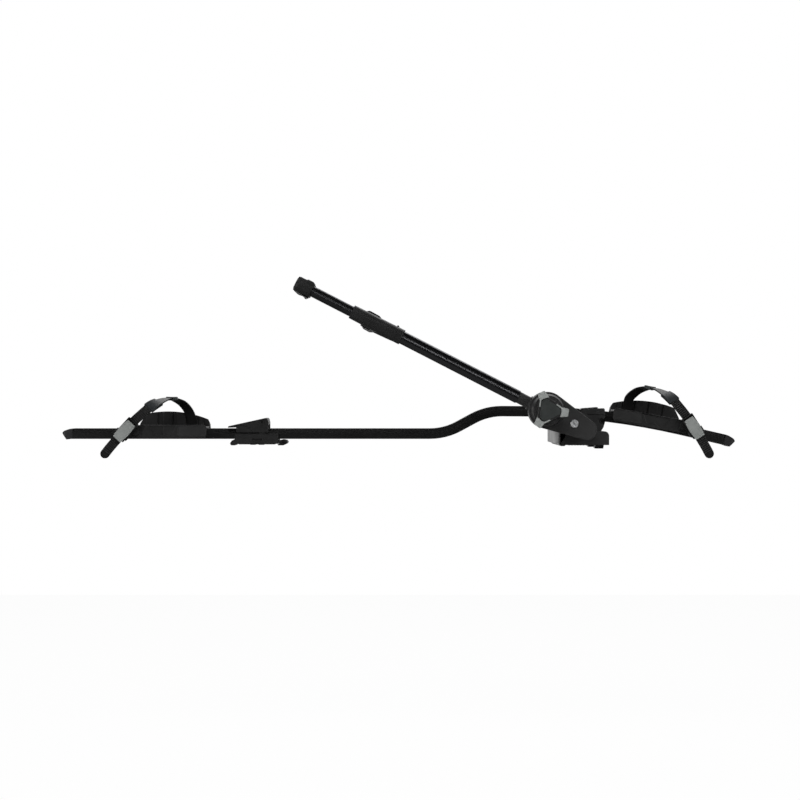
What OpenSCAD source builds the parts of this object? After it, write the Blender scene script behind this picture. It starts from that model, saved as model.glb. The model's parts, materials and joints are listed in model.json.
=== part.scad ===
// Roof bike carrier: a bent rail on two feet, two wheel cradles and a frame arm with a dial.
// Origin: middle of the front foot's bar seat, on top of the crossbar. +X is the front wheel end,
// +Z is up, and the dial is on the -Y side. Millimetres.

/* [Rail] */
// Width of the rail
rail_w = 50; // [46:1:56]
// Height of the rail
rail_h = 22.4; // [21:0.2:25]
// Wall of the rail extrusion
rail_wall = 1.8; // [1.6:0.1:2.2]
// Length of the low straight part of the rail
low_len = 769; // [740:5:820]
// Height of the low rail's centre line over the crossbar
low_z = 24; // [23:0.5:28]
// Rise of the S-bend
bend_rise = 48.5; // [44:0.5:54]
// Bend radius of the S-bend
bend_r = 130; // [110:5:150]
// Steepest angle of the S-bend
bend_a = 28.5; // [26:0.5:32]
// Place of the upper end of the S-bend, before the front foot
bend_end = 164; // [155:1:180]
// Radius of the long downward curve to the front
sweep_r = 1600; // [1400:50:2000]
// Angle of the rail's front end
sweep_a = 13; // [11:0.5:14]
// Length of the straight front end of the rail
nose_len = 90; // [80:1:110]
// Length of an end cap
cap_len = 23; // [18:1:30]

/* [Front foot] */
// Length of the front foot along the rail
foot_l = 113; // [108:1:124]
// Near side of the front foot from the rail's middle
foot_near = 78; // [72:1:78]
// Far side of the front foot from the rail's middle
foot_far = 148; // [130:1:170]
// Height of the front foot's body
foot_h = 30; // [28:0.5:31]
// Wall of the front foot's body
foot_wall = 3.5; // [2.5:0.1:4.5]
// Width of the crossbar that the front foot sits on
bar_w = 64; // [56:1:68]
// Depth that the bar claw reaches below the seat
claw_drop = 7; // [5:0.5:10]

/* [Rear foot] */
// Distance of the rear foot's middle from the origin
rear_foot_x = 692; // [660:1:700]
// Length of the rear saddle
saddle_l = 94; // [86:1:100]
// Wall of the rear saddle beside the rail
saddle_wall = 3; // [2:0.1:4]
// Length of the quick-release lever, hinge to tip
lever_l = 74; // [68:1:80]

/* [Wheel cradles] */
// Length of a wheel cradle
cradle_l = 165; // [150:1:170]
// Near side of a cradle from the rail's middle
cradle_near = 52; // [50:1:55]
// Far side of a cradle from the rail's middle
cradle_far = 45; // [43:1:50]
// Top of the near wall over the rail
near_h = 7.8; // [6:0.2:10]
// Top of the arched far wall over the rail
far_h = 36.4; // [32:0.2:42]
// Depth that the near wall reaches down beside the rail
skirt_h = 20; // [17:0.5:21]
// Place of the rear cradle's middle, before the origin
rear_cradle_x = 878.5; // [870:0.5:900]
// Place of the front cradle's middle along the long curve, in degrees
front_cradle_a = 10.2; // [9.9:0.1:10.4]

/* [Straps] */
// Width of a ladder strap
strap_w = 20; // [18:0.5:22]
// Thickness of a ladder strap
strap_t = 3; // [2.5:0.1:3.5]
// Height of the strap's arch over the rail
strap_arch = 66; // [60:1:72]
// Length of the buckle's lever plate
plate_l = 47; // [42:1:50]
// Width of the buckle's lever plate
plate_w = 24; // [22:0.5:26]

/* [Frame arm] */
// Angle of the arm over the rail
arm_a = 27.2; // [24:0.2:32]
// Distance of the arm's middle from the rail's middle
arm_y = 105; // [105:0.5:108]
// Place of the arm's pivot, before the origin
pivot_x = 10; // [8:0.5:14]
// Height of the arm's pivot
pivot_z = 28; // [26:0.5:30]
// Outer diameter of the main tube
tube_d = 28; // [27:0.5:30]
// Wall of the main tube
tube_wall = 1.5; // [1.2:0.1:1.8]
// Outer diameter of the inner tube
inner_d = 23; // [22:0.1:23]
// Distance of the main tube's end from the pivot
tube_end = 550; // [530:5:570]
// Distance of the arm's tip from the pivot
arm_tip = 690; // [680:5:720]
// Height of the jaws over the arm's middle
jaw_h = 19.5; // [17:0.5:21]
// Reach of the jaws across the rail
jaw_reach = 143; // [130:1:150]

/* [Dial and lock] */
// Radius of the dial's base ring
dial_r = 35; // [32:0.5:37]
// Depth of the dial
dial_h = 41.6; // [36:0.2:44]
// Radius over the three dial tabs
tab_r = 41.4; // [39:0.2:43]
// Distance of the dial from the pivot along the arm
dial_s = 97.5; // [94:0.5:102]
// Diameter of the lock barrel
lock_d = 15.6; // [14:0.2:19]
// Distance of the lock from the pivot along the arm
lock_s = 34.2; // [31:0.2:37]

/* [Hidden] */
$fn = 48;
eps = 0.01;
// Running gap between pieces that slide or swing past each other
gap = 0.4;
// Hairline between the rail's straight and curved lengths
seam = 0.1;
// Radial play of a pin in its hole
play = 0.06;
rail_half = rail_w / 2;
h2 = rail_h / 2;

// Where the rail's curves begin and end
bend_straight = (bend_rise - 2 * bend_r * (1 - cos(bend_a))) / sin(bend_a);
bend_run = 2 * bend_r * sin(bend_a) + bend_straight * cos(bend_a);
bend_start = round(-100 * (bend_end + bend_run)) / 100;
low_end = bend_start - low_len;
high_z = low_z + bend_rise;
sweep_start = -133;
sweep_end_x = sweep_start + sweep_r * sin(sweep_a);
sweep_end_z = high_z - sweep_r * (1 - cos(sweep_a));

// The T-slots of the rail, above and below
slot_open = 3.6;
slot_half = 7.4;
slot_lip = 2;
slot_deep = 4.4;
nut_half = slot_half - 0.5;
nut_t = 3.4;

// The teardrop arm housing
dial_t = 2.7;
house_r = 38.7;
pivot_r = 21;
house_wall = 2.5;
house_out = -arm_y - 25;
house_in = -foot_near - 2.4;
house_mid = -arm_y;
neck_s = 163;
shaft_d = 18;

// The cradles' own frame: u runs along the rail to the label end, w up from the rail's top
bolt_u = 38;
foot_pin_u = 41;
buckle_u = -92;
buckle_w = -5;
buckle_a = 47;
buckle_y = -cradle_near - 10;

// The quick-release lever
hinge_r = 13.5;
lever_x = -rear_foot_x + 12;
lever_z = low_z + h2 + hinge_r + 0.8;
ear_in = rail_half + gap;
ear_out = ear_in + saddle_wall;
lever_wall = 2.6;

// The jaws
sleeve_s = tube_end + 7;
jaw_s = tube_end - 109;
jaw_face = tube_end - 20;
head_s = arm_tip - 40;
head_face = head_s + 1.5;
head_lean = 12;
screw_d = 8;
nut_s = 362;

// Places a drawing in X and Z between two Y planes
module side_plate(y0, y1) {
    translate([0, y1, 0]) rotate([90, 0, 0]) linear_extrude(y1 - y0) children();
}

// Places a drawing in Y and Z between two X planes
module along_x(x0, x1) {
    translate([x0, 0, 0]) rotate([90, 0, 90]) linear_extrude(x1 - x0) children();
}

module y_rod(d, y0, y1) {
    side_plate(y0, y1) circle(d = d);
}

module x_rod(d, x0, x1) {
    along_x(x0, x1) circle(d = d);
}

module box(x0, x1, y0, y1, z0, z1) {
    translate([x0, y0, z0]) cube([x1 - x0, y1 - y0, z1 - z0]);
}

// A drawing swept round an axis along Y, from angle a0 to a1 in the XZ plane.
// side 1 turns its top away from the centre, side -1 towards it.
module bend(cx, cz, r, a0, a1, side) {
    translate([cx, 0, cz]) rotate([0, -a0, 0]) rotate([90, 0, 0])
        rotate_extrude(angle = a1 - a0, $fn = 360)
            translate([r, 0]) rotate(side > 0 ? -90 : 90) children();
}

// Carries a drawing along the whole rail. The second drawing is a little thinner and
// runs a short way over the two slanted joints, inside the walls.
module rail_path() {
    translate([0, 0, low_z]) along_x(low_end, bend_start) children(0);
    bend(bend_start, low_z + bend_r, bend_r, -90, bend_a - 90, -1) children(0);
    translate([bend_start + bend_r * sin(bend_a), 0, low_z + bend_r * (1 - cos(bend_a))])
        rotate([0, -bend_a, 0]) {
            along_x(seam, bend_straight - seam) children(0);
            along_x(-1, bend_straight + 1) children(1);
        }
    bend(-bend_end, high_z - bend_r, bend_r, 90, 90 + bend_a, 1) children(0);
    translate([0, 0, high_z]) along_x(-bend_end, sweep_start) children(0);
    mirror([1, 0, 0])
        bend(-sweep_start, high_z - sweep_r, sweep_r, 90, 90 + sweep_a, 1) children(0);
    translate([sweep_end_x, 0, sweep_end_z]) rotate([0, sweep_a, 0]) {
        along_x(seam, nose_len) children(0);
        along_x(-1, 1) children(1);
    }
}

// The outside of the rail's section: upright lower band, a ridge, and a band that leans in
module rail_outline(grow = 0) {
    half = rail_half + grow;
    polygon([
        [-half + 1, -h2 - grow], [half - 1, -h2 - grow], [half, -h2 + 1 - grow],
        [half, 1], [half - 1.4, 1.8], [half - 4.5, h2 - 1 + grow], [half - 5.5, h2 + grow],
        [-half + 5.5, h2 + grow], [-half + 4.5, h2 - 1 + grow], [-half + 1.4, 1.8],
        [-half, 1], [-half, -h2 + 1 - grow],
    ]);
}

module t_slot(grow = 0) {
    half = slot_open + grow;
    deep = slot_half + grow;
    translate([-half, h2 - slot_lip - eps]) square([2 * half, slot_lip + 1]);
    translate([-deep, h2 - slot_lip - slot_deep - grow]) square([2 * deep, slot_deep + 2 * grow]);
}

module rail_section(thin = 0) {
    inner = slot_half + rail_wall - thin;
    floor_z = -h2 + rail_wall - thin;
    outer = rail_half - rail_wall + thin;
    top = h2 - rail_wall + thin;
    difference() {
        rail_outline(-thin);
        t_slot(thin);
        mirror([0, 1]) t_slot(thin);
        for (k = [0, 1]) mirror([k, 0]) polygon([
            [inner, floor_z], [outer, floor_z], [outer, 0.4 + thin], [outer - 4.2, top], [inner, top],
        ]);
    }
}

module rail() {
    color("#1c1c1c") rail_path() {
        rail_section();
        rail_section(0.3);
    }
}

// An end cap: its side outline runs to a nose, its plan has round corners,
// and two tongues go into the rail's side chambers.
module end_cap() {
    tongue_in = slot_half + rail_wall + 0.3;
    tongue_out = rail_half - rail_wall - 0.3;
    color("#242424") {
        intersection() {
            side_plate(-rail_half, rail_half) polygon([
                [0, h2], [cap_len * 0.3, h2 - 1], [cap_len * 0.8, h2 - 5], [cap_len, h2 - 9.5],
                [cap_len * 0.57, -h2 - 1.2], [cap_len * 0.13, -h2], [0, -h2],
            ]);
            translate([0, 0, -h2 - 5]) linear_extrude(rail_h + 10) {
                translate([-eps, -rail_half]) square([cap_len - 8, rail_w]);
                translate([0, -rail_half + 8]) square([cap_len, rail_w - 16]);
                for (y = [-1, 1]) translate([cap_len - 8, y * (rail_half - 8)]) circle(r = 8);
            }
        }
        for (k = [0, 1]) mirror([0, k, 0])
            box(-18, 1, tongue_in, tongue_out - 4.6, -h2 + rail_wall + 0.3, h2 - rail_wall - 0.3);
    }
}

module rail_end_cap_rear() {
    translate([low_end, 0, low_z]) mirror([1, 0, 0]) end_cap();
}

module rail_end_cap_front() {
    translate([sweep_end_x, 0, sweep_end_z]) rotate([0, sweep_a, 0]) translate([nose_len, 0, 0])
        end_cap();
}

// Front foot: a hollow moulded block across the rail, with a lip behind the crossbar
module foot_outline(shrink = 0) {
    x0 = -foot_l / 2 + 3.5 + shrink;
    x1 = foot_l / 2 + 3.5 - shrink;
    top = foot_h - shrink;
    difference() {
        union() {
            translate([x0, shrink > 0 ? -9 : 0.8]) square([x1 - x0 - 10, top - (shrink > 0 ? -9 : 0.8)]);
            translate([x1 - 10 - eps, shrink > 0 ? -9 : 0.8])
                square([10 + eps, top - 10 - (shrink > 0 ? -9 : 0.8)]);
            translate([x1 - 10, top - 10]) circle(r = 10);
        }
        polygon([[x0 - 1, -10], [x0 - 1, 4], [x0 + 9, 0.8 - (shrink > 0 ? 20 : 0)], [x0 + 9, -10]]);
    }
}

bracket_w = 38;
bracket_x0 = 0;
bracket_x1 = 53;
bolt_x = 46;
bolt_z = 51.5;
clamp_x = 46;
clamp_y = 96;
claw_t = 4;

module front_foot_base() {
    lip_x = -bar_w / 2;
    color("#2d2d2d") difference() {
        union() {
            difference() {
                side_plate(-foot_near, foot_far) foot_outline();
                side_plate(-foot_near + foot_wall, foot_far - foot_wall) foot_outline(foot_wall);
            }
            // ribs inside, and the boss of the arm's pivot
            for (y = [-36, 30, 66, 120])
                intersection() {
                    side_plate(y - 1.5, y + 1.5) foot_outline();
                    box(-60, 70, -100, 200, 8, foot_h);
                }
            intersection() {
                side_plate(-foot_near, foot_far) foot_outline();
                union() {
                    translate([pivot_x, 0, pivot_z]) y_rod(shaft_d + 9, -foot_near, -34);
                    box(lip_x - 12, lip_x - 1, -foot_near, foot_far, 0.8, 9);
                    box(-60, -25, -foot_near, -34, 5.2, foot_h);
                    translate([clamp_x, clamp_y, 8]) cylinder(d = 20, h = foot_h - 8);
                }
            }
            // the rear lip that the crossbar bears on
            side_plate(-foot_near, foot_far)
                polygon([[lip_x - 12, 2], [lip_x - 1, 2], [lip_x - 1, 0], [lip_x - 3, -1.4], [lip_x - 11, -1.4]]);
            // a roof over the pad
            box(lip_x - 2, bar_w / 2 + 1, -foot_near + 1, foot_far - 1, 5.2, 9);
        }
        // a scoop in the near face, deepest on the left
        intersection() {
            side_plate(-foot_near - 1, -36)
                polygon([[-43, 28.6], [-39.5, 16], [-37.5, 16], [-28, 26], [-28, 28.6]]);
            translate([0, 0, 10]) linear_extrude(25)
                polygon([[-27, -foot_near - 1], [-28.5, -foot_near], [-43.5, -40], [-46, -40], [-46, -foot_near - 1]]);
        }
        // the left side curves in towards the near corner
        translate([0, 0, -5]) linear_extrude(foot_h + 10) polygon([
            [-60, -foot_near - 1], [-44.6, -foot_near - 1],
            for (k = [0 : 12]) [-44.6 - 9.2 * sin(7.5 * k), 20 - (foot_near + 20) * cos(7.5 * k)],
            [-60, 20],
        ]);
        translate([pivot_x, 0, pivot_z]) y_rod(shaft_d, -foot_near - 1, -36);
        // a window for the claw's stem, and the clamp bolt's hole
        translate([clamp_x, clamp_y, -10]) cylinder(d = 8.6, h = foot_h + 20);
        translate([clamp_x, clamp_y, foot_h - 7]) cylinder(d = 14, h = 20);
        translate([clamp_x, clamp_y, -10]) cylinder(d = 13, h = 24);
        box(bar_w / 2 + 0.6, bar_w / 2 + 20, claw_hooks[0] - 18, claw_hooks[1] + 18, -10, 8.6);
        // the rail bracket's pocket on top
        box(bracket_x0 + 2.8, bracket_x1 - 7.5, -rail_half - 1.2, rail_half + 10.2, foot_h - 1.6, foot_h + 1);
    }
}

// Middles of the bar claw's two hooks
claw_hooks = [-46, 96];

module front_bar_pad() {
    x1 = bar_w / 2;
    color("#1a1a1a") difference() {
        union() {
            box(-x1 + 0.4, x1, -foot_near + 5, foot_far - 5, 1.2, 5.2);
            for (x = [-x1 + 6.2 : 6 : x1 - 3.8]) box(x, x + 3.6, -foot_near + 5, foot_far - 5, 0, 1.3);
        }
        for (y = [10, 60]) box(-x1 + 6, x1 - 6, y, y + 2, 1.2 - 3, 3);
    }
}

// A steel strip under the foot with two hooks, drawn up by the clamp bolt
module front_bar_claw() {
    x0 = bar_w / 2 + 1;
    color("#161616") difference() {
        union() {
            for (y = claw_hooks) side_plate(y - 14, y + 14) polygon([
                [x0, 8], [x0 + 18, 8], [x0 + 18, 4], [x0 + 16.5, -claw_drop],
                [x0 - 0.6, -claw_drop], [x0 - 2, -claw_drop + 1.8], [x0 - 2, -2.2], [x0, -2.2],
            ]);
            box(x0, x0 + 18, claw_hooks[0], claw_hooks[1], 4, 8);
            translate([clamp_x, clamp_y, 7.9]) cylinder(d = 12, h = 5.6);
        }
        translate([clamp_x, clamp_y, -20]) cylinder(d = 6 + 2 * play, h = 40);
        translate([clamp_x, clamp_y, -claw_drop - 1]) cylinder(d = 10.5, h = 4);
    }
}

// The clamp bolt, with its socket head in the top of the foot
module front_clamp_bolt() {
    color("#8c8c8c") translate([clamp_x, clamp_y, 0]) difference() {
        union() {
            translate([0, 0, -claw_drop + 3.6]) cylinder(d = 6, h = foot_h - 3.6 + claw_drop - 6);
            translate([0, 0, foot_h - 7]) cylinder(d = 12, h = 6.4);
        }
        translate([0, 0, foot_h - 4]) cylinder(d = 6, h = 8, $fn = 6);
    }
}

// The rail's bracket: a cradle under the rail and a cheek on each side
module rail_bracket() {
    color("#2a2a2a") difference() {
        union() {
            side_plate(-bracket_w - 20, -rail_half + 0.5) polygon([
                [bracket_x0 + 4, foot_h], [bracket_x0 + 4, 60], [bracket_x0 + 2, 72], [bracket_x0 + 6, 77],
                [bracket_x1 - 2, 79], [bracket_x1, 77], [bracket_x1, 48], [bracket_x1 - 3, 38],
                [bracket_x1 - 8, foot_h],
            ]);
            side_plate(-rail_half - 1, rail_half + 10) polygon([
                [bracket_x0 + 3, foot_h - 1.4], [bracket_x0 + 3, 60], [bracket_x1 - 3, 60],
                [bracket_x1 - 8, foot_h - 1.4],
            ]);
            box(bracket_x0 + 4, bracket_x1 - 4, rail_half - 0.5, rail_half + 9.4, foot_h, 66);
        }
        mirror([1, 0, 0])
            bend(-sweep_start, high_z - sweep_r, sweep_r, 90, 90 + sweep_a, 1) rail_outline(gap / 2);
        // the cheek's thin seam and the bolt's counterbore
        box(bracket_x0 + 14, bracket_x1 + 1, -bracket_w - 21, -bracket_w - 19.2, 64.6, 65.8);
        translate([bolt_x, 0, bolt_z]) y_rod(8, -bracket_w - 30, -rail_half - 6);
        translate([bolt_x, 0, bolt_z]) y_rod(12.6, -bracket_w - 30, -bracket_w - 14);
        // the pivot shaft passes below
        translate([pivot_x, 0, pivot_z]) y_rod(shaft_d + 1, -bracket_w - 30, -34);
    }
}

// A thin cover that lies on the bracket's top and rises to the front
module bracket_cover() {
    color("#333333") side_plate(-bracket_w - 18, -rail_half - 1) polygon([
        [bracket_x0 + 1, 73.4], [bracket_x0 + 0.2, 75.8], [bracket_x0 + 4.2, 79], [bracket_x0 + 36, 81.4],
        [bracket_x0 + 38.6, 80.2], [bracket_x0 + 38.6, 78.75], [bracket_x0 + 5.7, 77.3],
        [bracket_x0 + 2.6, 73.2],
    ]);
}

module bracket_bolt() {
    color("#202020") translate([bolt_x, 0, bolt_z]) difference() {
        union() {
            y_rod(8 - 2 * eps, -bracket_w - 16, -rail_half - 6.3);
            y_rod(12.2, -bracket_w - 19, -bracket_w - 14.02);
        }
        side_plate(-bracket_w - 20, -bracket_w - 16) circle(d = 6, $fn = 6);
    }
}

// The shaft that the arm swings on, fixed in the foot
module arm_pivot_shaft() {
    color("#7d7d7d") translate([pivot_x, 0, pivot_z]) union() {
        y_rod(shaft_d, house_out + house_wall + 1.5, -36);
        y_rod(shaft_d + 5, -foot_near - 1.9, -foot_near - 0.02);
    }
}

// Rear foot: a saddle under the rail whose walls rise to the lever's hinge
saddle_x0 = -rear_foot_x - saddle_l / 2;
saddle_x1 = saddle_x0 + saddle_l;
rail_bottom = low_z - h2;
rail_ridge = low_z + 0.6;
pin_d = 6;

module rear_saddle() {
    slot_x = -rear_foot_x + 1;
    color("#1f1f1f") difference() {
        union() {
            // floor and walls round the rail's lower band
            box(saddle_x0, saddle_x1, -ear_out, ear_out, 2.3, rail_bottom - gap / 2);
            for (k = [0, 1]) mirror([0, k, 0]) {
                box(saddle_x0, saddle_x1, ear_in, ear_out, 2.3, rail_ridge);
                side_plate(ear_in, ear_out) {
                    translate([lever_x, lever_z]) circle(r = 6);
                    translate([lever_x - 6, rail_ridge - 1]) square([12, lever_z - rail_ridge + 1]);
                }
            }
            // the rounded fixed hook behind the crossbar
            side_plate(-ear_out, ear_out) {
                translate([saddle_x0 - 6, 3]) circle(r = 4);
                polygon([[saddle_x0 - 10, 3], [saddle_x0 - 7, 9], [saddle_x0 - 1, 12], [saddle_x0 + 6, 11],
                    [saddle_x0 + 6, 2.4], [saddle_x0, -1], [saddle_x0 - 6, -1]]);
            }
        }
        // the pin's holes
        translate([lever_x, 0, lever_z]) y_rod(pin_d, -60, 60);
        // the slot in each wall, the claw's channel, and the glider screw's hole
        box(slot_x - 11, slot_x + 11, -60, -ear_in - 0.6, rail_bottom - 3, rail_bottom + 0.6);
        box(-rear_foot_x - 12, saddle_x1 + 1, -13, 13, 4.4, 9.2);
        translate([-rear_foot_x - 24, 0, 0]) cylinder(d = 5.4, h = 30);
        translate([-rear_foot_x - 24, 0, -2]) cylinder(d = 10, h = 6.6);
    }
}

module rear_bar_pad() {
    color("#151515") difference() {
        union() {
            box(saddle_x0 + 8, saddle_x1 - 8, -24, 24, 0.9, 2.3);
            for (x = [-14, 4]) box(-rear_foot_x + x, -rear_foot_x + x + 11, -24, 24, 0, 1);
        }
        translate([-rear_foot_x - 24, 0, -2]) cylinder(d = 10, h = 6.6);
    }
}

// The plate that runs in the rail's lower T-slot, with the screw that holds the saddle to it
module rear_glider() {
    z0 = rail_bottom + slot_lip + 0.3;
    color("#9a9a9a") {
        box(-rear_foot_x - 40, -rear_foot_x + 4, -nut_half, nut_half, z0, z0 + nut_t);
        translate([-rear_foot_x - 24, 0, 4.2]) cylinder(d = 5.4 - 2 * eps, h = z0 - 3.6);
        translate([-rear_foot_x - 24, 0, 1.6]) cylinder(d = 9.6, h = 3);
    }
}

// The lever: a hollow wedge over the rail that swings up about its high end
module lever_outline() {
    tip = lever_x - lever_l;
    polygon([
        [tip, lever_z - 11.3], [tip + 2, lever_z - 9], [lever_x + 7, lever_z + 8.4],
        [lever_x + 9.6, lever_z + 8], [lever_x + 11.6, lever_z + 6], [lever_x + hinge_r - 0.2, lever_z - 1],
        [lever_x + hinge_r, rail_ridge + 2], [tip + 19, rail_ridge + 2],
        [tip + 18, lever_z - 12], [tip + 0.6, lever_z - 12.4],
    ]);
}

module rear_lever() {
    outer = ear_out + gap;
    color("#262626") difference() {
        side_plate(-outer - lever_wall, outer + lever_wall) lever_outline();
        // room for the rail and the saddle's walls
        box(lever_x - 63, lever_x + 40, -outer, outer, 0, lever_z - hinge_r + 0.2);
        // the middle is round where it rolls past the rail
        side_plate(-outer, outer) difference() {
            translate([lever_x, lever_z - 40]) square(40);
            translate([lever_x, lever_z]) circle(r = hinge_r - 0.3);
        }
        // a slot for each of the saddle's ears
        for (k = [0, 1]) mirror([0, k, 0]) side_plate(ear_in - gap, outer) {
            translate([lever_x, lever_z]) circle(r = 6.4);
            translate([lever_x - 11, lever_z - 40]) square([51, 40]);
            translate([lever_x, lever_z - 1]) square([40, 12]);
        }
        // hollow behind the top skin
        side_plate(-ear_in + 2 * gap, ear_in - 2 * gap) polygon([
            [lever_x - 58, lever_z - 30], [lever_x - 58, lever_z - 8.6], [lever_x - 14, lever_z - 0.4],
            [lever_x - 14, lever_z - 30],
        ]);
        translate([lever_x, 0, lever_z]) y_rod(pin_d + 2 * play, -60, 60);
        // the step along each side
        for (k = [0, 1]) mirror([0, k, 0]) side_plate(outer + lever_wall - 0.8, outer + lever_wall + 1)
            polygon([[lever_x - 61, lever_z - 13], [lever_x - 54, lever_z - 6], [lever_x - 34, lever_z - 9],
                [lever_x - 26, lever_z - 13], [lever_x - 20, lever_z - 24], [lever_x - 61, lever_z - 24]]);
    }
}

module rear_lever_pin() {
    reach = ear_out + gap + lever_wall;
    color("#8a8a8a") translate([lever_x, 0, lever_z]) y_rod(pin_d, -reach + 0.6, reach - 0.6);
}

// The hook that the lever draws against the front of the crossbar
claw_x = saddle_x1 + 1;
module rear_bar_claw() {
    color("#191919") difference() {
        union() {
            box(-rear_foot_x + 2, claw_x + 1, -12.6, 12.6, 4.8, 8.8);
            side_plate(-ear_out, ear_out) {
                polygon([[claw_x, 9.6], [claw_x + 7, 11.4], [claw_x + 15, 10], [claw_x + 18, 6.4],
                    [claw_x + 16.6, 2.6], [claw_x + 9, -1], [claw_x - 2, -1], [claw_x - 3.4, 1],
                    [claw_x - 2.4, 1.9], [claw_x, 2.1]]);
            }
        }
        translate([claw_x + 8, 0, 5.2]) rotate([90, 0, 0]) cylinder(d = 5, h = 100, center = true);
    }
}

module rear_claw_screw() {
    color("#a0a0a0") translate([claw_x + 8, 0, 5.2]) difference() {
        union() {
            y_rod(5 - 2 * eps, -ear_out - 1, ear_out);
            y_rod(9, -ear_out - 2.4, -ear_out - 0.02);
        }
        side_plate(-ear_out - 3, -ear_out - 0.9) square([6, 1.2], center = true);
    }
}

// The cradles' frames: the rear one on the low rail, the front one mirrored on the long curve
module in_rear_cradle() {
    translate([-rear_cradle_x, 0, low_z + h2]) children();
}

module in_front_cradle() {
    translate([
        sweep_start + (sweep_r + h2) * sin(front_cradle_a), 0,
        high_z - sweep_r + (sweep_r + h2) * cos(front_cradle_a),
    ]) rotate([0, front_cradle_a, 0]) mirror([1, 0, 0]) children();
}

half_l = cradle_l / 2;
wall = 3.2;
label_x0 = 18.8;
label_x1 = half_l - 1.5;
floor_t = 4;
skirt_in = rail_half + gap;

// The arched far wall as seen from the side
module far_outline() {
    arch_r = 230;
    arch_u = -12;
    intersection() {
        translate([arch_u, far_h - arch_r]) circle(r = arch_r, $fn = 180);
        polygon([
            [-half_l + 4, -4], [-half_l + 10, 12], [-half_l + 27, far_h], [half_l - 17, far_h],
            [half_l - 9, far_h - 14], [half_l - 3.5, far_h - 25], [half_l - 1.6, -4],
        ]);
    }
}

// The near wall: its face has a sunk trapezoid beside the label's place
module near_outline() {
    hull() {
        for (u = [-half_l + 7, half_l - 7]) {
            translate([u, near_h - 5]) circle(r = 5);
            translate([u, -skirt_h + 3]) circle(r = 3);
        }
    }
}

module cradle() {
    color("#282828") difference() {
        union() {
            // floor over the rail, and its two skirts
            box(-half_l + 3, half_l - 3, -cradle_near + 1, cradle_far - 1, 0.1, floor_t);
            for (k = [0, 1]) mirror([0, k, 0])
                box(-half_l + 6, half_l - 6, skirt_in, skirt_in + 2.6, -skirt_h, 0.2);
            side_plate(-cradle_near, -cradle_near + wall) near_outline();
            // a shelf that leads the tyre in from the near wall
            side_plate(-cradle_near + 1, -cradle_near + 12) translate([0, 0])
                polygon([[-half_l + 8, 0.2], [half_l - 4, 0.2], [half_l - 6, near_h - 1.4], [-half_l + 10, near_h - 1.4]]);
            // ribs under the floor on both sides
            for (u = [-60 : 24 : 60]) {
                box(u, u + 2.4, -cradle_near + 1, -skirt_in - 1, -skirt_h + 6, 0.2);
                box(u, u + 2.4, skirt_in + 1, cradle_far - 1, -3.6, 0.2);
            }
            side_plate(cradle_far - wall, cradle_far) far_outline();
            // the thick middle of the far wall, between its two grooves
            side_plate(cradle_far - wall - 4, cradle_far - wall + 0.1) intersection() {
                far_outline();
                union() {
                    translate([-60, 2]) square([25, far_h]);
                    translate([-22.5, 2]) square([19.3, far_h]);
                    translate([8.6, 2]) square([56, far_h]);
                }
            }
            // the ends curve up from the near wall to the far wall
            for (k = [-1, 1])
                box(min(k * (half_l - 2), k * (half_l - 5)), max(k * (half_l - 2), k * (half_l - 5)),
                    skirt_in, cradle_far - 1, 0, 9);
            // the boss that carries the buckle
            side_plate(-cradle_near - 6.3, -cradle_near + 1) {
                translate([buckle_u + 19, buckle_w + 16]) circle(r = 7);
                polygon([[buckle_u + 13, buckle_w + 11], [buckle_u + 26, buckle_w + 11],
                    [-half_l + 20, -12], [-half_l + 3, -12]]);
            }
        }
        // the sunk trapezoid, with a groove down its middle
        side_plate(-cradle_near - 1, -cradle_near + 1.2)
            polygon([[-41.6, 6], [17.1, 6], [6.4, -13.7], [-31.8, -13.7]]);
        side_plate(-cradle_near, -cradle_near + 2) translate([-12.9, -13.7]) square([1.2, 18]);
        // the label's pocket
        side_plate(-cradle_near - 1, -cradle_near + 1) label_outline(0.1);
        // the strap's slot in the shelf and the floor, inside the far wall
        box(foot_pin_u - strap_w / 2 - 5, foot_pin_u + strap_w / 2 + 5,
            cradle_far - wall - strap_t - 4, cradle_far - wall + 0.2, -2, far_h + 1);
        for (u = [-bolt_u, bolt_u]) translate([u, 0, -1]) cylinder(d = 5.4, h = 10);
        for (u = [-bolt_u, bolt_u]) translate([u, 0, floor_t - 1.5]) cylinder(d = 10.4, h = 10);
    }
}

module label_outline(grow = 0) {
    hull() for (u = [label_x0 + 5, label_x1 - 5]) for (w = [near_h - 6, -skirt_h + 8])
        translate([u, w]) circle(r = 5 + grow);
}

// A plain insert, bare
module label_insert() {
    color("#343434") difference() {
        side_plate(-cradle_near - 0.5, -cradle_near + 0.98) label_outline();
        side_plate(-cradle_near - 1, -cradle_near - 0.1) label_outline(-2.2);
    }
}

module cradle_bolts() {
    color("#909090") for (u = [-bolt_u, bolt_u]) translate([u, 0, 0]) difference() {
        union() {
            translate([0, 0, -slot_lip - 3]) cylinder(d = 5, h = slot_lip + 3 + floor_t - 1.4);
            translate([0, 0, floor_t - 1.48]) cylinder(d = 9.4, h = 3);
        }
        translate([0, 0, floor_t]) cylinder(d = 4, h = 5, $fn = 6);
    }
}

module rail_nuts() {
    color("#9a9a9a") for (u = [-bolt_u, bolt_u]) difference() {
        box(u - 9, u + 9, -nut_half, nut_half, -slot_lip - nut_t - 0.8, -slot_lip - 0.8);
        translate([u, 0, -20]) cylinder(d = 5.02, h = 40);
    }
}

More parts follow.
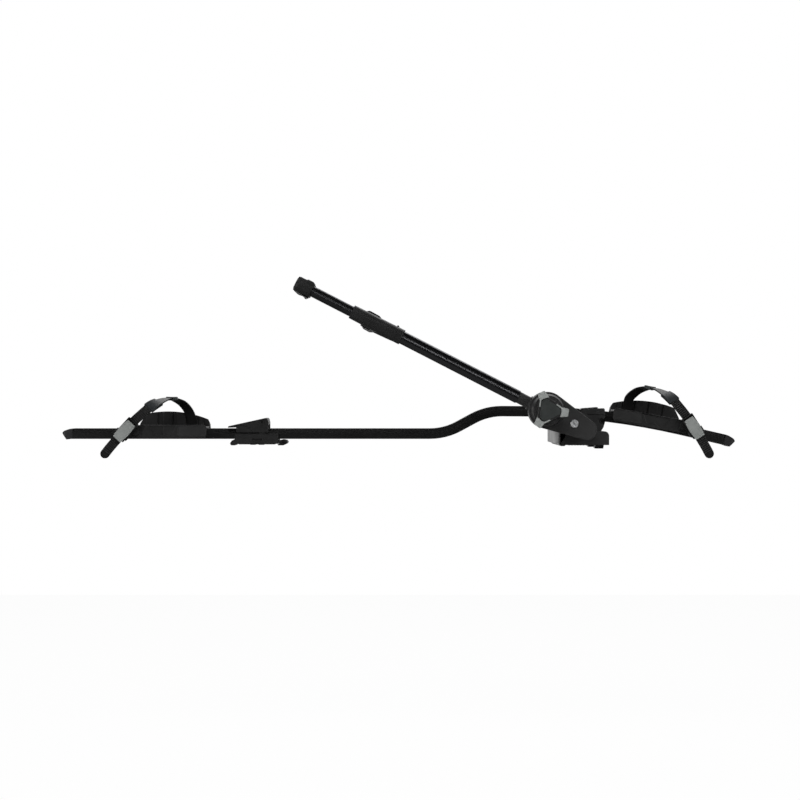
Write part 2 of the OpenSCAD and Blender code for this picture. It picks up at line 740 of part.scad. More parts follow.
// The strap's route: each point is along the rail, across it, over it, and the turn of its face.
// It rises inside the far wall, crosses over, lies flat through the buckle and hangs past it.
function strap_points(lean) = [
    [foot_pin_u, cradle_far - wall - 2.6, -1, 90],
    [foot_pin_u + 0.5, cradle_far - wall - 3, 12, 88],
    [foot_pin_u - 6 + lean, cradle_far - wall - 7, 34, 68],
    [foot_pin_u - 19 + lean, 25, strap_arch - 13.4, 38],
    [foot_pin_u - 34 + lean, 12, strap_arch - 4.2, 15],
    [foot_pin_u - 42 + lean * 0.7, 0, strap_arch - 1.4, 0],
    [foot_pin_u - 54 + lean * 0.3, -13, strap_arch - 3.4, -15],
    [foot_pin_u - 68, -cradle_near + 21, strap_arch - 10.5, -42],
    [foot_pin_u - 82, -cradle_near + 5, strap_arch - 20.5, -66],
    [foot_pin_u - 97, buckle_y + 4, strap_arch - 34.5, -84],
    [buckle_u + 29 * cos(buckle_a), buckle_y, buckle_w + 29 * sin(buckle_a), -90],
    [buckle_u, buckle_y, buckle_w, -90],
    [buckle_u - 24 * cos(buckle_a), buckle_y, buckle_w - 24 * sin(buckle_a), -90],
    [buckle_u - 32, buckle_y, buckle_w - 35.5, -90],
    [buckle_u - 48, buckle_y, buckle_w - 56, -90],
];

function unit(v) = v / norm(v);
function place(p) = [p[0], p[1], p[2]];
function curve(a, b, c, d, t) = 0.5 * (
    2 * b + (c - a) * t + (2 * a - 5 * b + 4 * c - d) * t * t + (3 * b - a - 3 * c + d) * t * t * t);
function route(c, n) = [
    for (i = [0 : len(c) - 2]) for (k = [0 : n - 1])
        curve(c[max(i - 1, 0)], c[i], c[i + 1], c[min(i + 2, len(c) - 1)], k / n),
    c[len(c) - 1],
];
function heading(r, i) = unit(place(r[min(i + 1, len(r) - 1)]) - place(r[max(i - 1, 0)]));
function facing(r, i) =
    let (t = heading(r, i), n = [0, sin(r[i][3]), cos(r[i][3])])
    unit(n - (n * t) * t);
function ring(r, i, w, h) =
    let (p = place(r[i]), n = facing(r, i), side = cross(heading(r, i), n))
    [p - side * w - n * h, p + side * w - n * h, p + side * w + n * h, p - side * w + n * h];

// A flat band of width w and thickness t along part of a route
module band(r, i0, i1, w, t) {
    count = i1 - i0 + 1;
    points = [for (i = [i0 : i1]) each ring(r, i, w / 2, t / 2)];
    sides = [
        for (i = [0 : count - 2]) for (k = [0 : 3])
            let (a = 4 * i + k, b = 4 * i + (k + 1) % 4)
            each [[a, b, b + 4], [a, b + 4, a + 4]],
    ];
    end = 4 * (count - 1);
    polyhedron(points, concat(sides, [[3, 2, 1], [3, 1, 0]], [[end, end + 1, end + 2], [end, end + 2, end + 3]]));
}

// A flat sleeve round the band: a closed tube with a wall of its own
module sleeve(r, i0, i1, w, t, wall_w, wall_t) {
    count = i1 - i0 + 1;
    points = [for (i = [i0 : i1]) each concat(ring(r, i, w / 2 + wall_w, t / 2 + wall_t), ring(r, i, w / 2, t / 2))];
    sides = [
        for (i = [0 : count - 2]) for (k = [0 : 3])
            let (a = 8 * i + k, b = 8 * i + (k + 1) % 4)
            each [[a, b, b + 8], [a, b + 8, a + 8], [a + 4, b + 12, b + 4], [a + 4, a + 12, b + 12]],
    ];
    end = 8 * (count - 1);
    ends = [
        for (k = [0 : 3]) let (a = k, b = (k + 1) % 4)
            each [[a, a + 4, b + 4], [a, b + 4, b],
                [end + a, end + b, end + b + 4], [end + a, end + b + 4, end + a + 4]],
    ];
    polyhedron(points, concat(sides, ends));
}

steps = 4;
pad_from = 26;
pad_to = 33;
keeper_from = 18;
keeper_to = 21;

module strap(lean) {
    r = route(strap_points(lean), steps);
    color("#151515") band(r, 0, len(r) - 1, strap_w, strap_t);
}

module rim_pad(lean) {
    r = route(strap_points(lean), steps);
    color("#2c3032") sleeve(r, pad_from, pad_to, strap_w + 0.4, strap_t + 0.4, 2.3, 2);
}

module strap_keeper(lean) {
    r = route(strap_points(lean), steps);
    color("#3a3d3d") sleeve(r, keeper_from, keeper_to, strap_w + 0.4, strap_t + 0.4, 2.3, 1.8);
}

// The buckle's own frame: x runs along the strap towards the arch
module in_buckle() {
    translate([buckle_u, buckle_y, buckle_w]) rotate([0, -buckle_a, 0]) children();
}

half_strap = strap_w / 2;
buckle_in = half_strap + 0.8;
buckle_out = buckle_in + 2.6;
buckle_pin_x = plate_l / 2 - 3.5;
buckle_pin_y = -strap_t / 2 - 3.1;
buckle_pin_d = 3.4;

// Its base lies behind the strap, its walls stand beside it, and a bar bridges it at the top
module buckle_frame() {
    back = strap_t / 2 + gap / 2;
    color("#1b1b1b") in_buckle() difference() {
        union() {
            box(-17, 29, back, back + 2, -buckle_out, buckle_out);
            for (k = [0, 1]) mirror([0, 0, k]) {
                box(-20, 29, -strap_t / 2 - 5.6, back + 2, buckle_in, buckle_out);
                box(-14, -4, -strap_t / 2 - 1, back + 1.6, buckle_out - 0.1, buckle_out + 2.6);
                translate([buckle_pin_x, 0, 0]) side_plate(buckle_pin_y - 2.6, back)
                    translate([-4, buckle_in]) square([8, buckle_out - buckle_in]);
            }
            box(25.4, 29, -strap_t / 2 - 4.6, back + 2, buckle_in - 0.1, buckle_out);
            box(27.2, 29, -strap_t / 2 - 5.2, -strap_t / 2 - 1, -buckle_out, buckle_out);
        }
        translate([buckle_pin_x, buckle_pin_y, 0])
            cylinder(d = buckle_pin_d, h = 100, center = true);
    }
}

module buckle_pin() {
    reach = buckle_out - 0.3;
    color("#8a8a8a") in_buckle() translate([buckle_pin_x, buckle_pin_y, -reach])
        cylinder(d = buckle_pin_d, h = 2 * reach);
}

// The lever: a plate with bulging sides on a knuckle round the pin
module buckle_lever() {
    top = -strap_t / 2 - 6;
    color("#939694") in_buckle() difference() {
        union() {
            side_plate(top - 2.6, top) polygon([
                [-plate_l / 2, -plate_w / 2 + 1.6], [-plate_l / 2 + 9, -plate_w / 2 + 0.4],
                [0, -plate_w / 2 - 0.6], [buckle_pin_x - 3, -plate_w / 2 + 0.6],
                [buckle_pin_x - 3, -buckle_in + gap], [plate_l / 2, -buckle_in + 1.2],
                [plate_l / 2, buckle_in - 1.2], [buckle_pin_x - 3, buckle_in - gap],
                [buckle_pin_x - 3, plate_w / 2 - 0.6], [0, plate_w / 2 + 0.6],
                [-plate_l / 2 + 9, plate_w / 2 - 0.4], [-plate_l / 2, plate_w / 2 - 1.6],
            ]);
            box(buckle_pin_x - 2.6, buckle_pin_x + 2.4, top - 0.1, buckle_pin_y, -buckle_in + 0.4, buckle_in - 0.4);
            translate([buckle_pin_x, buckle_pin_y, -buckle_in + 0.4])
                cylinder(r = 2.7, h = 2 * (buckle_in - 0.4));
        }
        translate([buckle_pin_x, buckle_pin_y, 0])
            cylinder(d = buckle_pin_d + 2 * play, h = 100, center = true);
    }
}

front_lean = 8;
module front_cradle() { in_front_cradle() cradle(); }
module front_label_insert() { in_front_cradle() label_insert(); }
module front_cradle_bolts() { in_front_cradle() cradle_bolts(); }
module front_rail_nuts() { in_front_cradle() rail_nuts(); }
module front_strap() { in_front_cradle() strap(front_lean); }
module front_rim_pad() { in_front_cradle() rim_pad(front_lean); }
module front_strap_keeper() { in_front_cradle() strap_keeper(front_lean); }
module front_buckle_frame() { in_front_cradle() buckle_frame(); }
module front_buckle_lever() { in_front_cradle() buckle_lever(); }
module front_buckle_pin() { in_front_cradle() buckle_pin(); }
module rear_cradle() { in_rear_cradle() cradle(); }
module rear_label_insert() { in_rear_cradle() label_insert(); }
module rear_cradle_bolts() { in_rear_cradle() cradle_bolts(); }
module rear_rail_nuts() { in_rear_cradle() rail_nuts(); }
module rear_strap() { in_rear_cradle() strap(0); }
module rear_rim_pad() { in_rear_cradle() rim_pad(0); }
module rear_strap_keeper() { in_rear_cradle() strap_keeper(0); }
module rear_buckle_frame() { in_rear_cradle() buckle_frame(); }
module rear_buckle_lever() { in_rear_cradle() buckle_lever(); }
module rear_buckle_pin() { in_rear_cradle() buckle_pin(); }

// The arm's own frame: the pivot at the origin and the arm along -X
module in_arm() {
    translate([pivot_x, 0, pivot_z]) rotate([0, arm_a, 0]) children();
}

// A round piece along the arm's middle, between two distances from the pivot
module arm_rod(d, s0, s1) {
    translate([0, -arm_y, 0]) x_rod(d, -s1, -s0);
}

// Two circles joined by their tangents: a small one near the pivot and a large one at the dial
tear_low = [-4.7, 4];
module tear(grow = 0) {
    r1 = pivot_r + grow - 0.03;
    r2 = house_r + grow - 0.03;
    high = [-dial_s, dial_t];
    way = high - tear_low;
    lean = atan2(way[1], way[0]);
    spread = acos((r1 - r2) / norm(way));
    translate(tear_low) circle(r = pivot_r + grow, $fn = 96);
    translate(high) circle(r = house_r + grow, $fn = 96);
    polygon([
        for (k = [-1, 1]) each let (a = lean + k * spread, v = [cos(a), sin(a)])
            k < 0 ? [tear_low + r1 * v, high + r2 * v] : [high + r2 * v, tear_low + r1 * v],
    ]);
}

dial_shaft_d = 10;
house_screws = [[-62, 32.5], [-66, -25.5], [-15.5, 16.5], [-132.5, 10]];

module house_post(y0, y1) {
    for (p = house_screws) translate([p[0], 0, p[1]]) y_rod(7, y0, y1);
}

module screw_holes(d, y0, y1) {
    for (p = house_screws) translate([p[0], 0, p[1]]) y_rod(d, y0, y1);
}

neck_d = tube_d - 2 * tube_wall - 0.1;

module housing(y0, y1, skin0, skin1) {
    difference() {
        union() {
            difference() {
                side_plate(y0, y1) tear();
                side_plate(skin0, skin1) tear(-house_wall);
            }
            intersection() {
                side_plate(y0, y1) tear();
                union() {
                    house_post(y0, y1);
                    children(0);
                }
            }
            // half of the neck that the main tube is pressed onto
            intersection() {
                arm_rod(neck_d, dial_s + house_r - 8, neck_s + 22);
                box(-neck_s - 30, 0, y0, y1, -50, 50);
            }
            // half of the socket that the neck stands in
            intersection() {
                arm_rod(neck_d + 6, dial_s + house_r - 12, dial_s + house_r + 2);
                box(-neck_s - 30, 0, y0, y1, -50, 50);
            }
        }
        arm_rod(screw_d + 4, dial_s + 24, neck_s + 40);
        children(1);
    }
}

module arm_outer_housing() {
    color("#313131") in_arm() housing(house_out, house_mid, house_out + house_wall, house_mid + 1) {
        union() {
            y_rod(shaft_d + 7, house_out, house_mid - 4);
            translate([-dial_s, 0, dial_t]) y_rod(dial_shaft_d + 8, house_out, house_out + 6);
            translate([-lock_s, 0, 3.7]) y_rod(lock_d + 6, house_out, house_out + 8);
        }
        union() {
            y_rod(shaft_d + 2 * play, house_out + house_wall, house_mid + 1);
            translate([-dial_s, 0, dial_t]) y_rod(dial_shaft_d + 2 * play, house_out - 1, house_mid);
            translate([-lock_s, 0, 3.7]) y_rod(lock_d, house_out - 1, house_mid);
            screw_holes(2.6, house_out + 4, house_mid + 1);
        }
    }
}

module arm_inner_housing() {
    color("#242424") in_arm() housing(house_mid, house_in, house_mid - 1, house_in - house_wall) {
        union() {
            y_rod(shaft_d + 7, house_mid + 4, house_in);
            translate([-dial_s, 0, dial_t]) y_rod(dial_shaft_d + 8, house_mid + 8, house_in);
        }
        union() {
            y_rod(shaft_d + 2 * play, house_mid - 1, house_in + 1);
            translate([-dial_s, 0, dial_t]) y_rod(dial_shaft_d + 2 * play, house_mid, house_in - 2);
            screw_holes(3.2, house_mid - 1, house_in + 1);
            screw_holes(6.2, house_in - 3, house_in + 1);
        }
    }
}

module housing_screws() {
    color("#8c8c8c") in_arm() for (p = house_screws) translate([p[0], 0, p[1]]) difference() {
        union() {
            y_rod(2.58, house_mid - 12, house_in - 2);
            y_rod(3.18, house_mid + 0.1, house_in - 2.98);
            y_rod(5.8, house_in - 2.98, house_in - 0.4);
        }
        side_plate(house_in - 1.6, house_in) square([4.4, 0.9], center = true);
    }
}

module main_tube() {
    color("#101010") in_arm() difference() {
        arm_rod(tube_d, neck_s, tube_end);
        arm_rod(tube_d - 2 * tube_wall, neck_s - 1, tube_end + 1);
    }
}

// A drawing along the arm (x) and across the rail (y), with its height limited by a side outline
module jaw_body() {
    intersection() {
        translate([0, -arm_y, -40]) linear_extrude(80) children(0);
        side_plate(-arm_y - 60, -arm_y + jaw_reach + 10) children(1);
    }
}

// The lower jaw: a tapered sleeve on the main tube with a claw across the rail
module lower_jaw() {
    back = -jaw_s;
    face = -jaw_face;
    color("#1d1e20") in_arm() difference() {
        union() {
            translate([-sleeve_s, -arm_y, 0]) rotate([0, 90, 0])
                cylinder(d1 = tube_d + 2, d2 = tube_d + 5, h = sleeve_s - jaw_s + 3);
            jaw_body() {
                polygon([
                    [back, 4], [back, 40], [back - 25, 100], [back - 52, jaw_reach - 3],
                    [back - 56, jaw_reach], [face + 4, jaw_reach], [face, jaw_reach - 6],
                    [face, jaw_reach - 12], [face + 24, 90], [face + 26, 68], [face + 2, 26],
                    [face, 18], [face, 4],
                ]);
                polygon([
                    [back, -jaw_h + 4.8], [back, jaw_h - 7], [back - 50, jaw_h - 5.5], [back - 60, jaw_h - 0.6],
                    [face + 6, jaw_h], [face, jaw_h - 4], [face, -jaw_h + 5], [face + 6, -jaw_h + 1.6],
                    [back - 68, -jaw_h + 1], [back - 60, -jaw_h + 4.8],
                ]);
            }
            // a flat flank below the sleeve, widest at the claw
            translate([0, -arm_y, 0]) polyhedron(
                points = [[-jaw_s - 50, -14.6, -3.5], [-jaw_s - 50, -4, -18.4], [-jaw_s - 0.5, -5, -15.8],
                    [-jaw_s - 50, 6, -10], [-jaw_s - 0.5, 4, -10]],
                faces = [[0, 1, 2], [0, 3, 1], [0, 2, 4], [0, 4, 3], [1, 3, 4], [1, 4, 2]]);
            side_plate(-arm_y + 2, -arm_y + 10) polygon([
                [back - 11, 10], [back - 12.5, jaw_h - 1.5], [back - 15, jaw_h], [back - 17.5, jaw_h - 1.5],
                [back - 19, 10],
            ]);
        }
        arm_rod(tube_d + 0.04, jaw_s - 10, tube_end);
        arm_rod(inner_d + 2 * play, tube_end - 1, sleeve_s + 1);
        // the claw is hollow from below
        jaw_body() {
            polygon([
                [back - 8, 46], [back - 30, 100], [back - 55, jaw_reach - 7], [face + 10, jaw_reach - 7],
                [face + 31, 92], [face + 33, 66], [face + 19, 40],
            ]);
            polygon([[back, -jaw_h - 5], [back, 10], [face, 10], [face, -jaw_h - 5]]);
        }
    }
}

module pad_outline(face, side, lean) {
    polygon([
        [face + side * lean, jaw_reach - 12], [face + side * 24, 90], [face + side * 26, 68],
        [face + side * 2, 26], [face - side * 1.6, 27], [face + side * 22.4, 68.8],
        [face + side * 20.4, 89], [face + side * (lean - 3.4), jaw_reach - 13],
    ]);
}

module lower_jaw_pad() {
    color("#111111") in_arm() translate([0, -arm_y, -jaw_h + 5]) linear_extrude(2 * jaw_h - 10)
        pad_outline(-jaw_face, 1, 0);
}

// The upper jaw: a head on the inner tube's end with a claw that faces the lower one
module upper_jaw() {
    face = -head_face;
    tip = -arm_tip;
    color("#1f2021") in_arm() difference() {
        union() {
            translate([tip, -arm_y, 0]) rotate([0, 90, 0]) cylinder(d1 = 23, d2 = 31, h = 5);
            arm_rod(31, head_s + 2, arm_tip - 5 + eps);
            jaw_body() {
                polygon([
                    [tip + 1, -8], [tip + 1, 34], [tip - 5, 104], [tip + 7, jaw_reach - 2],
                    [tip + 11, jaw_reach], [face - head_lean - 4, jaw_reach],
                    [face - head_lean, jaw_reach - 6], [face - head_lean, jaw_reach - 12],
                    [face - 24, 90], [face - 26, 68], [face - 2, 26], [face, 18], [face, -8],
                ]);
                polygon([
                    [tip - 8, 9], [tip - 3, jaw_h - 5], [tip + 6, jaw_h - 3.2], [tip + 19, jaw_h - 3.2],
                    [tip + 21, jaw_h - 1],
                    [face - 5, jaw_h - 1], [face, jaw_h - 4], [face, -jaw_h + 5],
                    [face - 3, -jaw_h + 1.6], [tip + 23, -jaw_h + 1.6], [tip + 19, -jaw_h + 5],
                    [tip + 6, -jaw_h + 3], [tip - 2, -jaw_h + 5], [tip - 8, -9],
                ]);
            }
        }
        arm_rod(inner_d - 0.02, head_s - 10, arm_tip - 4);
        jaw_body() {
            polygon([
                [tip + 6, 24], [tip, 102], [tip + 11, jaw_reach - 7], [face - 20, jaw_reach - 7],
                [face - 31, 98], [face - 31, 66], [face - 8, 26], [face - 8, 20],
            ]);
            polygon([[tip - 9, -jaw_h - 5], [tip - 9, 9], [face, 9], [face, -jaw_h - 5]]);
        }
    }
}

module upper_jaw_pad() {
    color("#111111") in_arm() translate([0, -arm_y, -jaw_h + 5]) linear_extrude(2 * jaw_h - 10)
        pad_outline(-head_face, -1, head_lean);
}

inner_wall = 1.5;

module inner_tube() {
    color("#232323") in_arm() difference() {
        arm_rod(inner_d - 0.04, nut_s - 4, arm_tip - 4.02);
        arm_rod(inner_d - 2 * inner_wall, nut_s - 5, arm_tip);
    }
}

// The nut that the drive screw pulls, fixed in the inner tube's end
module travel_nut() {
    color("#b08d3c") in_arm() difference() {
        arm_rod(inner_d - 2 * inner_wall - 0.04, nut_s, nut_s + 18);
        arm_rod(screw_d + 2 * play, nut_s - 1, nut_s + 19);
    }
}

// Gears at the foot of the screw: a pinion on it, and a crown gear on the dial's shaft
pinion_r = 7;
pinion_s = dial_s + 8;
crown_r = 17.5;
crown_y = house_mid - pinion_r - gap;
teeth = 12;

module drive_screw() {
    color("#9c9c9c") in_arm() difference() {
        union() {
            arm_rod(screw_d, pinion_s - 1, nut_s + 26);
            arm_rod(2 * pinion_r, pinion_s, pinion_s + 10);
            arm_rod(screw_d + 3, pinion_s + 9.9, pinion_s + 14);
        }
        for (k = [0 : teeth - 1]) translate([0, -arm_y, 0]) rotate([360 * k / teeth, 0, 0])
            translate([-pinion_s - 11, -0.9, pinion_r - 2]) cube([12, 1.8, 4]);
    }
}

module dial_shaft() {
    color("#8f8f8f") in_arm() translate([-dial_s, 0, dial_t]) difference() {
        union() {
            y_rod(dial_shaft_d, house_out - dial_h + 8, house_in - house_wall + 0.3);
            y_rod(2 * crown_r, crown_y - 5, crown_y);
        }
        for (k = [0 : 2 * teeth - 1]) rotate([0, 180 * k / teeth, 0])
            translate([crown_r - 7, crown_y - 2, -0.9]) cube([10, 4, 1.8]);
    }
}

// The dial: its lobes point to the three tabs
tab_a = arm_a - 6.5;
dial_front = house_out - dial_h;
dial_back = house_out - gap;
lobe_c = 22;
lobe_r = 11;

module tri_outline(c, r) {
    for (k = [0 : 2]) rotate(tab_a + 120 * k) translate([c, 0]) circle(r = r);
    polygon([
        for (k = [0 : 2]) for (j = [-60, 60])
            let (a = tab_a + 120 * k) c * [cos(a), sin(a)] + r * [cos(a + j), sin(a + j)],
    ]);
}

module on_dial() {
    in_arm() translate([-dial_s, 0, dial_t]) children();
}

module dial_body() {
    color("#1b1b1b") on_dial() difference() {
        union() {
            y_rod(2 * dial_r, dial_back - 7, dial_back);
            translate([0, dial_back - 7 + eps, 0]) rotate([90, 0, 0])
                cylinder(r1 = dial_r - 0.5, r2 = dial_r - 4, h = 16);
            side_plate(dial_front + 3.2, dial_back - 20) tri_outline(lobe_c, lobe_r);
        }
        y_rod(2 * dial_r - 10, dial_back - 16, dial_back + 1);
        y_rod(dial_shaft_d - 2 * eps, dial_front + 7, dial_back);
        side_plate(dial_front + 8, dial_back - 20) difference() {
            tri_outline(lobe_c, lobe_r - 3);
            circle(d = dial_shaft_d + 6);
        }
    }
}

module dial_face() {
    color("#303332") on_dial() side_plate(dial_front, dial_front + 3.18) tri_outline(14.5, 10);
}

module tab_outline() {
    polygon([
        [24.8, -11.4], [tab_r - 3.5, -9], [tab_r - 0.6, -7.4], [tab_r, 4.5], [tab_r - 2, 8],
        [27, 8.8], [15, 15.4], [13.8, 13.2], [25.2, 6.4], [26.4, 0], [25.8, -6],
    ]);
}

module dial_tabs() {
    color("#9c9f9e") on_dial() for (k = [0 : 2]) {
        side_plate(dial_front - 0.6, dial_front + 3.18) rotate(tab_a + 120 * k) tab_outline();
        side_plate(dial_front + 3, dial_front + 17) rotate(tab_a + 120 * k)
            translate([lobe_c + lobe_r + 0.1, -7]) square([tab_r - lobe_c - lobe_r - 0.9, 13]);
    }
}

core_d = lock_d - 5;

module on_lock() {
    in_arm() translate([-lock_s, 0, 3.7]) children();
}

module lock_barrel() {
    color("#a6a6a6") on_lock() difference() {
        union() {
            y_rod(lock_d - 2 * eps, house_out - 1, house_out + 13);
            y_rod(lock_d + 1.2, house_out - 1.2, house_out - 0.02);
        }
        y_rod(core_d, house_out - 5, house_out + 20);
    }
}

// The lock's core, with its key slot and the bar that stops the arm
module lock_core() {
    color("#8a8a8a") on_lock() difference() {
        union() {
            y_rod(core_d - 2 * play, house_out - 0.9, house_out + 13.3);
            side_plate(house_out + 13.3, house_out + 16) translate([-3.5, -3.5]) square([14, 7]);
        }
        side_plate(house_out - 2, house_out + 7) rotate(-40) square([8, 1.9], center = true);
    }
}

rail();
rail_end_cap_rear();
rail_end_cap_front();
front_foot_base();
front_bar_pad();
front_bar_claw();
front_clamp_bolt();
rail_bracket();
bracket_cover();
bracket_bolt();
arm_pivot_shaft();
rear_saddle();
rear_bar_pad();
rear_glider();
rear_lever();
rear_lever_pin();
rear_bar_claw();
rear_claw_screw();
front_cradle();
front_label_insert();
front_cradle_bolts();
front_rail_nuts();
front_strap();
front_rim_pad();
front_strap_keeper();
front_buckle_frame();
front_buckle_lever();
front_buckle_pin();
rear_cradle();
rear_label_insert();
rear_cradle_bolts();
rear_rail_nuts();
rear_strap();
rear_rim_pad();
rear_strap_keeper();
rear_buckle_frame();
rear_buckle_lever();
rear_buckle_pin();
arm_outer_housing();
arm_inner_housing();
housing_screws();
main_tube();
lower_jaw();
lower_jaw_pad();
lock_barrel();
lock_core();
dial_body();
dial_face();
dial_tabs();
dial_shaft();
drive_screw();
inner_tube();
travel_nut();
upper_jaw();
upper_jaw_pad();
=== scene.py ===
# %% [markdown]
# # A roof bike carrier, dressed in Blender
# The carrier is a long bent rail on two feet, with a cradle and a ladder strap for each wheel and
# an arm that holds the frame between two jaws. The CAD model already has every solid in its right
# place, so this script loads it as the frame, gives each piece the finish of the real one, and
# models again the few pieces whose small forms the CAD leaves plain, such as the straps.

# %% Load the frame
import bpy
import bmesh
import json
import math
from mathutils import Matrix, Vector


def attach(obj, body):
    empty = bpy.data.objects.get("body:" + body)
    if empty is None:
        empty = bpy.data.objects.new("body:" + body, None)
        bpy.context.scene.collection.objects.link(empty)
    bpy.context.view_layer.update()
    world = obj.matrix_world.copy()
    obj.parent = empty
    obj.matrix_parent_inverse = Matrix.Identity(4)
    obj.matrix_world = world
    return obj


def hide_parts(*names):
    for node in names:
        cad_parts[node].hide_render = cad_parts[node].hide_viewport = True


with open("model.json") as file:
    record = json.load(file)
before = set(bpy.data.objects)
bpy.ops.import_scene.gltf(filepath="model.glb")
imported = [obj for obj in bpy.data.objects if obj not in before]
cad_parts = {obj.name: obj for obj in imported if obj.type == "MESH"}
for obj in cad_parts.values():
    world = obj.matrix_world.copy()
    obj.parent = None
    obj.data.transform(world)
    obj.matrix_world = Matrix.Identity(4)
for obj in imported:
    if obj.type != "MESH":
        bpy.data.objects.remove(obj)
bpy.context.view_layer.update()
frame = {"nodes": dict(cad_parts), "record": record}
nodes = frame["nodes"]
bodies = frame["record"]["behaviour"]["bodies"]
body_of_node = {node: body for body, names in bodies.items() for node in names}

# %% [markdown]
# ## Camera
# The photograph is square-on from four metres, at the height of the arm's foot: the rail's far and
# near edges lie nearly on one line. A long lens at that distance keeps the proportions, and the
# camera stands left of the front foot because the whole carrier is centred in the picture.

# %% Camera
MM = 0.001
CAMERA_AT = Vector((-384.0, -4000.0, 96.5)) * MM
MM_PER_PIXEL = 2.164
lens = 36.0 * 4000.0 / (800 * MM_PER_PIXEL)
camera_data = bpy.data.cameras.new("camera")
camera_data.lens = lens
camera_data.sensor_width = 36.0
camera_data.clip_end = 50.0
camera = bpy.data.objects.new("camera", camera_data)
camera.location = CAMERA_AT
camera.rotation_euler = (math.radians(90), 0, 0)
bpy.context.collection.objects.link(camera)
bpy.context.scene.camera = camera
bpy.context.scene.view_settings.view_transform = "Standard"
print("camera: lens", round(lens, 2), "mm at", [round(v, 3) for v in CAMERA_AT])

# %% [markdown]
# ## Colours and nodes
# Colours are written as the hex values that a picture editor shows. Blender's shaders want linear
# light, so one function turns them. A second one adds a shader node with its settings and links,
# which keeps each material short enough to read as a recipe.

# %% Helpers for colours and nodes
def linear(hex_text, alpha=1.0):
    out = []
    for k in (1, 3, 5):
        c = int(hex_text[k:k + 2], 16) / 255
        out.append(c / 12.92 if c <= 0.04045 else ((c + 0.055) / 1.055) ** 2.4)
    return (*out, alpha)


def add(tree, kind, inputs=(), **settings):
    made = tree.nodes.new(kind)
    for name, value in settings.items():
        setattr(made, name, value)
    for name, value in dict(inputs).items():
        if isinstance(value, bpy.types.NodeSocket):
            tree.links.new(value, made.inputs[name])
        else:
            made.inputs[name].default_value = value
    return made


print("linear('#808080') is", round(linear("#808080")[0], 3))

# %% [markdown]
# ## Stage
# The carrier is photographed on white, level and held up as on a car's roof. The white that the
# camera sees is the world's colour for camera rays. The carrier's surfaces see a room that is
# white behind it and dim in front of it, which gives black plastic its light rims and keeps its
# faces dark. The room gets lighter in one smooth step along Y, from front to back.

# %% World
ROOM_FRONT, ROOM_BACK = 0.03, 1.0
world = bpy.data.worlds.new("studio")
bpy.context.scene.world = world
world.use_nodes = True
sky = world.node_tree
sky.nodes.clear()
where = add(sky, "ShaderNodeTexCoord")
turn = add(sky, "ShaderNodeSeparateXYZ", {"Vector": where.outputs["Generated"]})
behind = add(sky, "ShaderNodeMapRange", {
    "Value": turn.outputs["Y"], "From Min": 0.1, "From Max": 0.75,
    "To Min": ROOM_FRONT, "To Max": ROOM_BACK}, interpolation_type="SMOOTHSTEP")
path = add(sky, "ShaderNodeLightPath")
WHITE = (1, 1, 1, 1)
room = add(sky, "ShaderNodeBackground", {"Color": WHITE, "Strength": behind.outputs["Result"]})
white = add(sky, "ShaderNodeBackground", {"Color": WHITE, "Strength": 1.0})
seen = add(sky, "ShaderNodeMixShader", {0: path.outputs["Is Camera Ray"], 1: room.outputs[0],
                                        2: white.outputs[0]})
add(sky, "ShaderNodeOutputWorld", {"Surface": seen.outputs[0]})
print("world: white to the camera, room from", ROOM_FRONT, "in front to", ROOM_BACK, "behind")

# %% [markdown]
# The floor lies well below the carrier. To the camera it is nearly all white glow, with a small
# share of its real matt paint, so that it blends with the white world and still keeps a trace of
# the carrier's shadow. A mirror sees it as a middle grey, which keeps the undersides of the tubes
# dark.

# %% Floor
FLOOR_HEIGHT = -0.62
GLOW_SHARE = 0.96
bm = bmesh.new()
bmesh.ops.create_grid(bm, x_segments=1, y_segments=1, size=1.0)
bmesh.ops.scale(bm, vec=(2.8, 2.2, 1.0), verts=bm.verts)
bmesh.ops.translate(bm, vec=(-0.4, 0.6, FLOOR_HEIGHT), verts=bm.verts)
mesh = bpy.data.meshes.new("floor")
bm.to_mesh(mesh)
bm.free()
floor = bpy.data.objects.new("floor", mesh)
bpy.context.collection.objects.link(floor)
paint = bpy.data.materials.new("matt_white_floor")
paint.use_nodes = True
tree = paint.node_tree
tree.nodes.clear()
path = add(tree, "ShaderNodeLightPath")
in_mirror = add(tree, "ShaderNodeMixRGB", {"Fac": path.outputs["Is Glossy Ray"],
                                           "Color1": linear("#e6e6e6"),
                                           "Color2": linear("#757575")})
matt = add(tree, "ShaderNodeBsdfDiffuse", {"Color": in_mirror.outputs[0]})
glow = add(tree, "ShaderNodeEmission", {"Color": WHITE, "Strength": 1.0})
direct = add(tree, "ShaderNodeMath", {0: path.outputs["Is Camera Ray"], 1: GLOW_SHARE},
             operation="MULTIPLY")
both = add(tree, "ShaderNodeMixShader", {0: direct.outputs[0], 1: matt.outputs[0],
                                         2: glow.outputs[0]})
add(tree, "ShaderNodeOutputMaterial", {"Surface": both.outputs[0]})
mesh.materials.append(paint)
print("floor at", FLOOR_HEIGHT, "m")

# %% [markdown]
# ## Lamps
# A large softbox in front and above lights the faces evenly. It is hidden from mirrors, so that
# its wide reflection doesn't lighten the glossy black pieces. A weak one above and behind
# separates the top edges from each other, and two at the sides reach the end faces.
#
# The photograph has one narrow streak along the round arm tube. A long low strip draws it, and
# light linking lets it light only the tubes, the dial and the lock.

# %% Lamps
def softbox(name, at, aim, wide, high, watts, mirrored=True):
    lamp = bpy.data.lights.new(name, "AREA")
    lamp.shape = "RECTANGLE"
    lamp.size, lamp.size_y, lamp.energy = wide, high, watts
    made = bpy.data.objects.new(name, lamp)
    made.location = at
    made.rotation_euler = (Vector(aim) - Vector(at)).to_track_quat("-Z", "Y").to_euler()
    made.visible_glossy = mirrored
    bpy.context.collection.objects.link(made)
    return made


